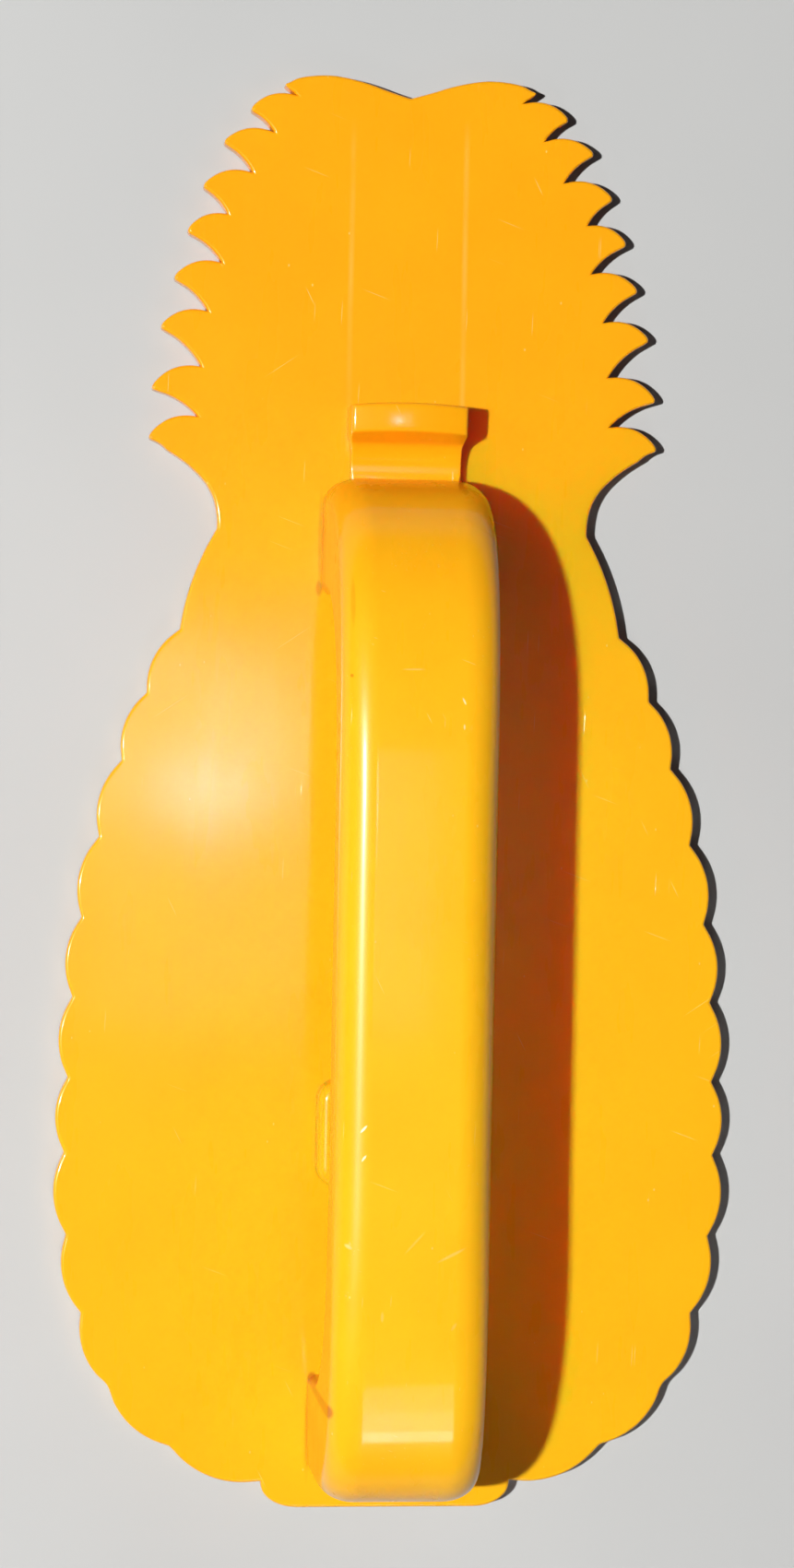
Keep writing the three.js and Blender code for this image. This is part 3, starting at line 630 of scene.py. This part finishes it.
def make_thumb_slide():
    """The bar with its round tail, the scoop and the raised lip, and holes for the rivets."""
    rings = []
    for i in range(SLIDE_END_STEPS + 1):
        angle = math.pi / 2 * i / SLIDE_END_STEPS
        y = slide_low.y + BAR_END_RADIUS * (1 - math.cos(angle))
        rings.append(slide_ring(y, BAR_END_RADIUS * (1 - math.sin(angle)), 0))
    lip_end = slide_high.y - LIP_EDGE_ROUND
    for y in (
            *spaced(slide_low.y, SCOOP_REAR_Y, BAR_STEPS)[1:],
            *spaced(SCOOP_REAR_Y, STEEP_FROM_Y, SCOOP_STEPS),
            *spaced(STEEP_FROM_Y, STEEP_TO_Y, SLOPE_STEPS),
            *spaced(STEEP_TO_Y, lip_end, LIP_STEPS),
            lip_end):
        rings.append(slide_ring(y, 0, 0))
    for i in range(1, SLIDE_END_STEPS + 1):
        angle = math.pi / 2 * i / SLIDE_END_STEPS
        y = lip_end + LIP_EDGE_ROUND * math.sin(angle)
        rings.append(slide_ring(y, 0, LIP_EDGE_ROUND * (1 - math.cos(angle))))
    slide = skin("thumb_bar", rings)
    holes = []
    for name in ("blade_rivet_front", "blade_rivet_rear"):
        low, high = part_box(name)
        holes.append(rod_cutter(0, (low.y + high.y) / 2, [
            (RIVET_HOLE_RADIUS, low.z - OVERRUN),
            (RIVET_HOLE_RADIUS, high.z + OVERRUN),
        ]))
    carve(slide, holes)
    return slide


def make_guide():
    """The low guide over the bar, with its tunnel and the spring's pocket."""
    outline = rounded_rectangle(guide_low.x, guide_high.x, guide_low.y, guide_high.y, GUIDE_CORNER)
    guide = rounded_slab("bar_guide", outline, guide_low.z, guide_high.z, 0, GUIDE_ROUND, GUIDE_STEPS)
    spring_low, spring_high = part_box("friction_spring")
    pocket = Vector((FIT_GAP, FIT_GAP, FIT_GAP))
    carve(guide, [
        box_cutter((-TUNNEL_HALF_WIDTH, guide_low.y - OVERRUN, PLATE_TOP - OVERRUN),
                   (TUNNEL_HALF_WIDTH, guide_high.y + OVERRUN, TUNNEL_TOP)),
        box_cutter(spring_low - pocket - Vector((0, 0, OVERRUN)), spring_high + pocket),
        *screw_holes("guide_screw"),
    ])
    return guide


# Materials.


class Paint:
    """The nodes of one material."""

    def __init__(self, name):
        self.material = bpy.data.materials.new(name)
        self.material.use_nodes = True
        self.tree = self.material.node_tree
        self.shader = self.tree.nodes["Principled BSDF"]
        self.place = self.node("TexCoord").outputs["Object"]
        self.axes = self.node("SeparateXYZ", None, {"Vector": self.place}).outputs

    def node(self, kind, settings=None, inputs=None):
        """A new shader node with these settings, its inputs linked or set."""
        made = self.tree.nodes.new("ShaderNode" + kind)
        for name, value in (settings or {}).items():
            setattr(made, name, value)
        for key, value in (inputs or {}).items():
            self.put(made.inputs[key], value)
        return made

    def put(self, socket, value):
        """Links a value that is a socket, and sets any other."""
        if isinstance(value, bpy.types.NodeSocket):
            self.tree.links.new(value, socket)
        else:
            socket.default_value = value

    def math(self, operation, a, b=0.0):
        return self.node("Math", {"operation": operation}, {0: a, 1: b}).outputs[0]

    def ramp(self, value, low, high, to_low=0.0, to_high=1.0):
        """Maps low..high to to_low..to_high, held at the ends."""
        made = self.node("MapRange", None, {
            "Value": value, "From Min": low, "From Max": high, "To Min": to_low, "To Max": to_high})
        return made.outputs["Result"]

    def stretched(self, scale, turn=0.0):
        """The place, turned about Z and scaled per axis, so that a texture repeats per metre."""
        turned = self.node("VectorRotate", {"rotation_type": "Z_AXIS"}, {"Vector": self.place, "Angle": turn})
        made = self.node("VectorMath", {"operation": "MULTIPLY"}, {0: turned.outputs[0], 1: scale})
        return made.outputs[0]

    def noise(self, scale, detail=2.0, roughness=0.5, vector=None):
        made = self.node("TexNoise", None, {
            "Vector": vector or self.place, "Scale": scale, "Detail": detail, "Roughness": roughness})
        return made.outputs["Fac"]

    def dashes(self, length, width, turn, share, seed):
        """Short straight marks of this length and width, on a share of the places for one."""
        along = 1 / (length * DASH_ROOM_ALONG)
        across = 1 / (width * DASH_ROOM_ACROSS)
        place = self.stretched((along, across, across), turn)
        shifted = self.node("VectorMath", {"operation": "ADD"}, {0: place, 1: (seed, seed, seed)})
        cells = self.node("TexVoronoi", None, {"Vector": shifted.outputs[0], "Scale": 1.0})
        near = self.ramp(cells.outputs["Distance"], DASH_EDGE, DASH_CORE)
        picked = self.node("SeparateColor", None, {"Color": cells.outputs["Color"]})
        chosen = self.math("GREATER_THAN", picked.outputs["Red"], 1 - share)
        return self.math("MULTIPLY", near, chosen)

    def marks(self, table):
        """Single soft-ended marks from rows of x, y, length, width, turn and strength."""
        total = 0.0
        for x, y, length, width, turn, strength in table:
            centre = Vector((x, y, 0)) * MM
            turned = self.node("VectorRotate", {"rotation_type": "Z_AXIS"}, {
                "Vector": self.place, "Center": centre, "Angle": -math.radians(turn)})
            off = self.node("VectorMath", {"operation": "SUBTRACT"}, {0: turned.outputs[0], 1: centre})
            sized = self.node("VectorMath", {"operation": "MULTIPLY"}, {
                0: off.outputs[0], 1: (2 / (length * MM), 2 / (width * MM), 0)})
            away = self.node("VectorMath", {"operation": "LENGTH"}, {0: sized.outputs[0]}).outputs["Value"]
            total = self.math("MAXIMUM", total, self.ramp(away, 1.0, MARK_CORE_SHARE, 0, strength))
        return total

    def mix(self, factor, a, b):
        made = self.node("Mix", {"data_type": "RGBA"})
        self.put(made.inputs["Factor"], factor)
        self.put(made.inputs[6], a)
        self.put(made.inputs[7], b)
        return made.outputs[2]

    def bump(self, height, distance, normal=None):
        inputs = {"Height": height, "Distance": distance, "Strength": 1.0}
        if normal:
            inputs["Normal"] = normal
        return self.node("Bump", None, inputs).outputs["Normal"]

    def finish(self, colour, roughness, normal=None, **constants):
        """Joins the looks to the shader, and other inputs by name with _ for a space."""
        self.put(self.shader.inputs["Base Color"], colour)
        self.put(self.shader.inputs["Roughness"], roughness)
        if normal:
            self.put(self.shader.inputs["Normal"], normal)
        for name, value in constants.items():
            self.put(self.shader.inputs[name.replace("_", " ")], value)
        return self.material


def tint(red, green, blue):
    """A screen colour of 0 to 255 as the linear colour of a socket."""
    def linear(value):
        value = value / 255
        return value / 12.92 if value <= 0.04045 else ((value + 0.055) / 1.055) ** 2.4
    return (linear(red), linear(green), linear(blue), 1)


AMBER = tint(255, 180, 20)
AMBER_DEEP = tint(255, 167, 14)
# A lighter amber, for the strap.
AMBER_STRAP_LIGHTER = tint(255, 187, 27)
AMBER_PALE = tint(255, 214, 120)
NICK = tint(255, 244, 205)
# Dark orange, for painted shade where the feet meet the plate and for two dark marks on the strap.
DARK_MARK_AND_SHADE = tint(205, 108, 14)

# Noise: cells in a metre, or three values for the cells along X, Y and Z.
MOTTLE_CELLS = 55
PATCH_CELLS = 75
SWELL_CELLS = 38
RUB_CELLS = (220, 40, 220)
STREAK_CELLS = (1100, 60, 1100)
TRACK_CELLS = (300, 60, 300)
BRUSH_CELLS = (2600, 45, 2600)
FASTENER_CELLS = (900, 900, 900)
STEEL_CLOUD_CELLS = 160
NYLON_CLOUD_CELLS = 240
NYLON_GLOSS_CELLS = 900
NYLON_GRAIN_CELLS = 2200
FLOOR_CELLS = 9

# The middle parts of a noise's range that are spread over a whole ramp.
MIDDLE_THIRD = (0.35, 0.65)
MOST = (0.3, 0.7)

# Depths of the relief.
SWELL_DEPTH = 0.012 * MM
RUB_DEPTH = 0.0003 * MM
SCRATCH_DEPTH = 0.012 * MM
BRUSH_DEPTH = 0.004 * MM
NYLON_DEPTH = 0.01 * MM

# Fine scratches and specks all over: length, width, turn in radians, share of places, seed.
SCRATCHES = (
    (5 * MM, 0.05 * MM, 0.35, 0.03, 0),
    (3.5 * MM, 0.06 * MM, 1.1, 0.02, 7),
    (7 * MM, 0.05 * MM, -0.6, 0.012, 13),
    (4 * MM, 0.05 * MM, 1.6, 0.03, 29),
)
SPECKS = (0.3 * MM, 0.25 * MM, 0.0, 0.02, 41)
SCRATCH_PALENESS = 0.6
SPECK_PALENESS = 0.7
SCRATCH_ROUGHNESS = 0.2

# Room for one scratch, in its lengths and widths, and its outer and inner reach within a cell.
DASH_ROOM_ALONG = 3
DASH_ROOM_ACROSS = 6
DASH_EDGE = 0.17
DASH_CORE = 0.08

# The share of a single mark's reach that is at full strength.
MARK_CORE_SHARE = 0.55

# Marks on top of the strap, in mm and degrees: x, y, length, width, turn, strength.
STRAP_NICKS = (
    (-7.5, -46.9, 1.6, 0.42, 49, 1),
    (-7.4, -51.1, 1.3, 0.36, 55, 0.9),
    (5.9, 14.6, 1.3, 0.3, -65, 0.6),
    (5.95, 10.9, 0.9, 0.3, 90, 0.5),
    (-9.35, -63.9, 1.4, 0.6, -30, 0.25),
    (5.55, -65, 5.2, 0.5, 27, 0.12),
    (0.2, -63.2, 5, 0.4, 48, 0.07),
    (-4.3, -74, 1.8, 0.5, 90, 0.1),
    (6.1, -75.4, 1.6, 0.5, 55, 0.09),
    (-1.4, 19.05, 3.8, 0.26, 1, 0.14),
)
# Painted shade where the feet meet the plate, on plate and strap alike: spots at the feet's inner corners and
# bands along their left sides.
PAINTED_FOOT_SHADE = (
    (-12.6, 31.2, 1.2, 3, 0, 0.55),
    (-12.5, 38.5, 0.9, 17, 0, 0.3),
    (-11.5, -88.5, 1.8, 2.4, 0, 0.8),
    (-12.1, -97, 1.2, 16, 0, 0.25),
)
# Two dark marks on the strap's left edge near the front, and the painted shade at the feet.
STRAP_DARK_MARKS_AND_FOOT_SHADE = (
    (-10, 28.5, 8.5, 0.8, 90, 0.25),
    (-10.2, 18, 0.6, 0.6, 0, 0.6),
    *PAINTED_FOOT_SHADE,
)

# Where along Y the plastic goes from deeper, at the crown, to lighter, how far, and its mottling.
DEEP_FROM = 55 * MM
LIGHTER_FROM = 5 * MM
DEEP_TO_LIGHTER_SHARES = (0.1, 0.9)
MOTTLE_SHARES = (-0.15, 0.15)

# How much the plastic's roughness and shine vary with rubbing, streaks and patches.
SMOOTHER_BY = 0.02
ROUGHER_BY = 0.03
STREAK_SHINE_SHARES = (0.85, 1.15)
PATCH_SHINE_SHARES = (0.85, 1.1)

# How far red light spreads inside the plastic, its share in red, green and blue, and how much of
# it the plate has: most around a middle line under the strap, least at the rim.
GLOW_REACH = 36 * MM
GLOW_COLOUR = (1.0, 0.04, 0.01)
PLATE_GLOW = 0.65
GLOW_INNER = 26 * MM
GLOW_OUTER = 40 * MM
GLOW_MIDDLE = -20 * MM
GLOW_END_INNER = 70 * MM
GLOW_END_OUTER = 85 * MM

# Rubbed tracks of the lip's ends: how far inside them, how wide, and where they fade out.
TRACK_INSET = 0.15 * MM
TRACK_EDGE = 0.55 * MM
TRACK_CORE = 0.1 * MM
TRACK_FRONT_END = slide_high.y + TRAVEL + 1 * MM
TRACK_FRONT_FADE = 5 * MM
TRACK_REAR_END = slide_high.y - 8 * MM
TRACK_REAR_FADE = 3 * MM
TRACK_PATCH_SHARES = (0.25, 1)
TRACK_STRENGTH = 0.22

# Steel: how dark its fine lines are, how its roughness varies, and how metallic it looks under the
# plain studio light.
STEEL_LINE_SHARE = 0.86
STEEL_SMOOTHER_BY = 0.06
STEEL_ROUGHER_BY = 0.08
STEEL_METALLIC = 0.7

# Nylon.
NYLON_DARK = tint(222, 215, 196)
NYLON_LIGHT = tint(236, 231, 217)
NYLON_ROUGHNESS = (0.42, 0.52)
NYLON_REACH = 2 * MM


def amber_plastic(name, body=AMBER, gloss=0.28, shine=0.45, polish=0.09, glow=0.1, on_plate=False,
                  nicks=(), shade_and_dark_marks=()):
    """Moulded amber plastic: faint mottling, fine handling scratches, pale nicks, and given dark orange
    marks, some of them painted shade.
    """
    paint = Paint(name)
    paint.shader.subsurface_method = "BURLEY"
    scratches = paint.dashes(*SCRATCHES[0])
    for scratch in SCRATCHES[1:]:
        scratches = paint.math("MAXIMUM", scratches, paint.dashes(*scratch))
    colour = amber_colour(paint, body, scratches)
    if on_plate:
        colour = paint.mix(slide_tracks(paint), colour, AMBER_PALE)
        glow = plate_glow(paint, glow)
    # Dark orange marks: painted shade at the feet, and on the strap two dark marks as well.
    if shade_and_dark_marks:
        colour = paint.mix(paint.marks(shade_and_dark_marks), colour, DARK_MARK_AND_SHADE)
    if nicks:
        colour = paint.mix(paint.marks(nicks), colour, NICK)
    rub = paint.noise(1, detail=3, roughness=0.6, vector=paint.stretched(RUB_CELLS))
    roughness = paint.ramp(rub, *MOST, gloss - SMOOTHER_BY, gloss + ROUGHER_BY)
    roughness = paint.math("ADD", roughness, paint.math("MULTIPLY", scratches, SCRATCH_ROUGHNESS))
    streaks = paint.noise(1, detail=3, roughness=0.65, vector=paint.stretched(STREAK_CELLS))
    shine = paint.ramp(streaks, *MIDDLE_THIRD, *[share * shine for share in STREAK_SHINE_SHARES])
    patches = paint.ramp(paint.noise(PATCH_CELLS, detail=3), *MIDDLE_THIRD, *PATCH_SHINE_SHARES)
    swell = paint.bump(paint.noise(SWELL_CELLS, detail=2), SWELL_DEPTH)
    grain = paint.bump(rub, RUB_DEPTH, swell)
    normal = paint.bump(scratches, -SCRATCH_DEPTH, grain)
    return paint.finish(
        colour, roughness, normal,
        IOR=1.5, Specular_IOR_Level=0.15,
        Coat_Weight=paint.math("MULTIPLY", shine, patches), Coat_Roughness=polish, Coat_Normal=normal,
        Subsurface_Weight=glow, Subsurface_Radius=GLOW_COLOUR, Subsurface_Scale=GLOW_REACH)


def amber_colour(paint, body, scratches):
    """Deeper at the crown and lighter from there on, mottled, with pale scratches and specks."""
    mottle = paint.ramp(paint.noise(MOTTLE_CELLS, detail=4), *MIDDLE_THIRD, *MOTTLE_SHARES)
    lighter_share = paint.ramp(paint.axes["Y"], DEEP_FROM, LIGHTER_FROM, *DEEP_TO_LIGHTER_SHARES)
    colour = paint.mix(paint.math("ADD", lighter_share, mottle), AMBER_DEEP, body)
    specks = paint.dashes(*SPECKS)
    colour = paint.mix(paint.math("MULTIPLY", scratches, SCRATCH_PALENESS), colour, AMBER_PALE)
    return paint.mix(paint.math("MULTIPLY", specks, SPECK_PALENESS), colour, AMBER_PALE)


def plate_glow(paint, least):
    """The share of light that spreads inside the plate, from its rim's up to that of its middle."""
    aside = paint.math("ABSOLUTE", paint.axes["X"])
    along = paint.math("ABSOLUTE", paint.math("SUBTRACT", paint.axes["Y"], GLOW_MIDDLE))
    inside = paint.ramp(aside, GLOW_INNER, GLOW_OUTER, 1, 0)
    between_ends = paint.ramp(along, GLOW_END_INNER, GLOW_END_OUTER, 1, 0)
    return paint.ramp(paint.math("MULTIPLY", inside, between_ends), 0, 1, least, PLATE_GLOW)


def slide_tracks(paint):
    """Two faint rubbed lines on the crown, where the lip's ends run."""
    aside = paint.math("ABSOLUTE", paint.axes["X"])
    off = paint.math("ABSOLUTE", paint.math("SUBTRACT", aside, LIP_HALF_WIDTH - TRACK_INSET))
    line = paint.ramp(off, TRACK_EDGE, TRACK_CORE)
    front = paint.ramp(paint.axes["Y"], TRACK_FRONT_END, TRACK_FRONT_END - TRACK_FRONT_FADE)
    rear = paint.ramp(paint.axes["Y"], TRACK_REAR_END, TRACK_REAR_END + TRACK_REAR_FADE)
    patchy = paint.ramp(paint.noise(1, vector=paint.stretched(TRACK_CELLS)), *MOST, *TRACK_PATCH_SHARES)
    mask = paint.math("MULTIPLY", paint.math("MULTIPLY", line, front), paint.math("MULTIPLY", rear, patchy))
    return paint.math("MULTIPLY", mask, TRACK_STRENGTH)


def brushed_steel(name, shade_of, gloss, cells=BRUSH_CELLS):
    """Ground steel with fine lines, which run along Y where the cells are long, and rubbed spots."""
    paint = Paint(name)
    lines = paint.noise(1, detail=4, roughness=0.7, vector=paint.stretched(cells))
    cloud = paint.noise(STEEL_CLOUD_CELLS, detail=3)
    line_colour = tint(*[c * STEEL_LINE_SHARE for c in shade_of])
    colour = paint.mix(paint.ramp(lines, *MOST), line_colour, tint(*shade_of))
    roughness = paint.ramp(cloud, *MOST, gloss - STEEL_SMOOTHER_BY, gloss + STEEL_ROUGHER_BY)
    normal = paint.bump(lines, BRUSH_DEPTH)
    return paint.finish(colour, roughness, normal, Metallic=STEEL_METALLIC)


def nylon(name):
    """Natural nylon: milky, slightly mottled, satin."""
    paint = Paint(name)
    cloud = paint.ramp(paint.noise(NYLON_CLOUD_CELLS, detail=3), *MOST)
    colour = paint.mix(cloud, NYLON_DARK, NYLON_LIGHT)
    roughness = paint.ramp(paint.noise(NYLON_GLOSS_CELLS), *MOST, *NYLON_ROUGHNESS)
    normal = paint.bump(paint.noise(NYLON_GRAIN_CELLS), NYLON_DEPTH)
    return paint.finish(
        colour, roughness, normal, IOR=1.53, Subsurface_Weight=0.3, Subsurface_Scale=NYLON_REACH)


# Pieces and their materials.


def stand_for(piece, node, body, material):
    """Gives a finer piece its material and lets it stand for its solid."""
    piece.data.materials.clear()
    piece.data.materials.append(material)
    shade(piece)
    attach(piece, body)
    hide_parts(node)


def dress(node, material):
    """Gives a solid that shows as it is its material, with smooth round faces."""
    solid = frame["nodes"][node]
    solid.data.materials.clear()
    solid.data.materials.append(material)
    solid.data.polygons.foreach_set("use_smooth", [True] * len(solid.data.polygons))
    solid.data.set_sharp_from_angle(angle=SOLID_SHARP)


plate_plastic = amber_plastic(
    "plate_plastic", shine=0.6, glow=0.12, on_plate=True, shade_and_dark_marks=PAINTED_FOOT_SHADE)
handle_plastic = amber_plastic(
    "handle_plastic", body=AMBER_STRAP_LIGHTER, polish=0.07, nicks=STRAP_NICKS, shade_and_dark_marks=STRAP_DARK_MARKS_AND_FOOT_SHADE)
slide_plastic = amber_plastic("slide_plastic", gloss=0.24, shine=0.8)
liner_plastic = amber_plastic("liner_plastic", gloss=0.38, shine=0.3, polish=0.2)
blade_steel = brushed_steel("blade_steel", (206, 209, 212), 0.34)
spring_steel = brushed_steel("spring_steel", (186, 190, 194), 0.3)
fastener_steel = brushed_steel("fastener_steel", (200, 203, 207), 0.32, FASTENER_CELLS)

stand_for(make_plate(), "pineapple_plate", "guard", plate_plastic)
stand_for(make_handle(), "handle_shell", "guard", handle_plastic)
stand_for(make_liner(), "handle_liner", "guard", liner_plastic)
stand_for(make_guide(), "middle_guide", "guard", plate_plastic)
stand_for(make_thumb_slide(), "thumb_slide", "slide", slide_plastic)

dress("blade_cover", liner_plastic)
dress("slide_block", nylon("block_nylon"))
dress("blade", blade_steel)
dress("friction_spring", spring_steel)
for node_name in frame["nodes"]:
    if "screw" in node_name or "rivet" in node_name:
        dress(node_name, fastener_steel)


# Camera, lamps, floor and world.

# The floor lies a little under the plate and throws back less light than the rays that show the
# background see. Farther out, from one distance to another, it gets paler to those rays.
FLOOR_HALF = 5
FLOOR_GAP = 0.2 * MM
FLOOR_ROUGHNESS = 0.7
FLOOR_DARK = tint(188, 188, 186)
FLOOR_LIGHT = tint(195, 195, 193)
FLOOR_BOUNCE = tint(100, 100, 99)
HAZE_FROM = 0.45
HAZE_TO = 1.8
HAZE_LEVEL = 0.5
HAZE_COLOUR = (1, 1, 0.99, 1)

# The world is nearly dark. A pale band over the horizon shows to the same rays only, full up to one
# height of their direction and gone at another.
WORLD_COLOUR = (1, 0.99, 0.97, 1)
WORLD_LEVEL = 0.008
HORIZON_FULL = 0.1
HORIZON_END = 0.3
HORIZON_LEVEL = 0.6

# The sun: direction, distance, side and watts.
SUN = ((-0.4925, 0, 0.8703), 1.6, 0.05, 32)

# The sky's reflection on the left of the plate, from lamps straight above their targets: distance,
# width, height, watts and target. Their colour is a share of white light.
SKY_COLOUR = (0.66, 0.73, 0.96)
SKY_LAMPS = {
    "sky_wide": (1.5, 0.2, 0.23, 0.24, (0.084, -0.055, 0)),
    "sky_band": (1.49, 0.118, 0.085, 0.18, (0.054, -0.014, 0)),
    "sky_core": (1.48, 0.036, 0.028, 0.066, (0.062, -0.044, 0)),
}

# The window's reflection on the strap's rear bend: elevation, distance, width, height and watts.
WINDOW_AZIMUTH = -81
WINDOW_TARGET = (0, -0.092, 0.031)
WINDOW_SPREAD = 50
WINDOW_LAMPS = {
    "window_high": (52, 0.35, 0.08, 0.136, 0.0078),
    "window_low": (48, 0.345, 0.078, 0.085, 0.0026),
    "window_sill": (44.5, 0.34, 0.066, 0.03, 0.0031),
}


def make_camera():
    """The photograph's camera, from the values at the top."""
    data = bpy.data.cameras.new("photo_camera")
    data.sensor_width = SENSOR
    data.lens = SENSOR * FOCAL_PIXELS / PHOTO_HEIGHT_PIXELS
    camera = bpy.data.objects.new("photo_camera", data)
    bpy.context.scene.collection.objects.link(camera)
    forward = (CAMERA_TARGET - CAMERA_PLACE).normalized()
    right = forward.cross(Vector((-math.sin(CAMERA_ROLL), math.cos(CAMERA_ROLL), 0))).normalized()
    up = right.cross(forward)
    turn = Matrix((right, up, -forward)).transposed().to_4x4()
    camera.matrix_world = Matrix.Translation(CAMERA_PLACE) @ turn
    bpy.context.scene.camera = camera


def toward(azimuth, elevation):
    """A direction from two angles in degrees, the azimuth counted from +X."""
    across = math.cos(math.radians(elevation))
    return (
        across * math.cos(math.radians(azimuth)),
        across * math.sin(math.radians(azimuth)),
        math.sin(math.radians(elevation)))


def soft_box(name, towards, distance, width, height, watts, target=(0, 0, 0), spread=180, colour=(1, 1, 1)):
    """A rectangular lamp that shines on the target from a direction; the spread is in degrees."""
    data = bpy.data.lights.new(name, "AREA")
    data.shape = "RECTANGLE"
    data.size = width
    data.size_y = height
    data.energy = watts
    data.color = colour
    data.spread = math.radians(spread)
    lamp = bpy.data.objects.new(name, data)
    bpy.context.scene.collection.objects.link(lamp)
    away = Vector(towards).normalized()
    lamp.location = Vector(target) + away * distance
    lamp.rotation_mode = "QUATERNION"
    lamp.rotation_quaternion = away.to_track_quat("Z", "Y")


def seen_rays(new_node, highest):
    """1 for the rays that show the background: camera, glossy and transmission rays."""
    path = new_node("LightPath").outputs
    return highest(highest(path["Is Camera Ray"], path["Is Glossy Ray"]), path["Is Transmission Ray"])


def make_lamps():
    """The sun, the sky over the plate and a window near the strap's rear."""
    towards, distance, side, watts = SUN
    soft_box("key", towards, distance, side, side, watts)
    for name, (distance, width, height, watts, target) in SKY_LAMPS.items():
        soft_box(name, (0, 0, 1), distance, width, height, watts, target=target, colour=SKY_COLOUR)
    for name, (elevation, distance, width, height, watts) in WINDOW_LAMPS.items():
        soft_box(
            name, toward(WINDOW_AZIMUTH, elevation), distance, width, height, watts,
            target=WINDOW_TARGET, spread=WINDOW_SPREAD)


def make_floor():
    """A plain pale floor, darker to the rays that light the object from below."""
    half = FLOOR_HALF
    corners = [(-half, -half, 0), (half, -half, 0), (half, half, 0), (-half, half, 0)]
    floor = piece_from("floor", corners, [(0, 1, 2, 3)])
    floor.location.z = cad_low.z - FLOOR_GAP
    paint = Paint("floor_paint")
    cloud = paint.ramp(paint.noise(FLOOR_CELLS, detail=3), *MOST)
    pale = paint.mix(cloud, FLOOR_DARK, FLOOR_LIGHT)
    seen = seen_rays(paint.node, lambda a, b: paint.math("MAXIMUM", a, b))
    colour = paint.mix(seen, FLOOR_BOUNCE, pale)
    away = paint.node("VectorMath", {"operation": "LENGTH"}, {0: paint.place}).outputs["Value"]
    haze = paint.math("MULTIPLY", seen, paint.ramp(away, HAZE_FROM, HAZE_TO, 0, HAZE_LEVEL))
    floor.data.materials.append(paint.finish(
        colour, FLOOR_ROUGHNESS, Emission_Color=HAZE_COLOUR, Emission_Strength=haze))


def make_world():
    """A nearly dark room, with a pale band above the horizon for the rays that show it."""
    world = bpy.data.worlds.new("studio")
    world.use_nodes = True
    tree = world.node_tree

    def node(kind, operation=None, values=()):
        made = tree.nodes.new("ShaderNode" + kind)
        if operation:
            made.operation = operation
        for socket, value in zip(made.inputs, values):
            if isinstance(value, bpy.types.NodeSocket):
                tree.links.new(value, socket)
            else:
                socket.default_value = value
        return made

    def maths(operation, *values):
        return node("Math", operation, values).outputs[0]

    seen = seen_rays(node, lambda a, b: maths("MAXIMUM", a, b))
    axes = node("SeparateXYZ", None, [node("TexCoord").outputs["Generated"]])
    low = node("MapRange", None, [axes.outputs["Z"], HORIZON_FULL, HORIZON_END, 1.0, 0.0])
    horizon = maths("MULTIPLY", maths("MULTIPLY", low.outputs["Result"], seen), HORIZON_LEVEL)
    background = tree.nodes["Background"]
    background.inputs["Color"].default_value = WORLD_COLOUR
    tree.links.new(maths("ADD", horizon, WORLD_LEVEL), background.inputs["Strength"])
    bpy.context.scene.world = world


make_camera()
make_world()
make_floor()
make_lamps()
bpy.context.scene.view_settings.view_transform = "Standard"

bpy.context.view_layer.update()
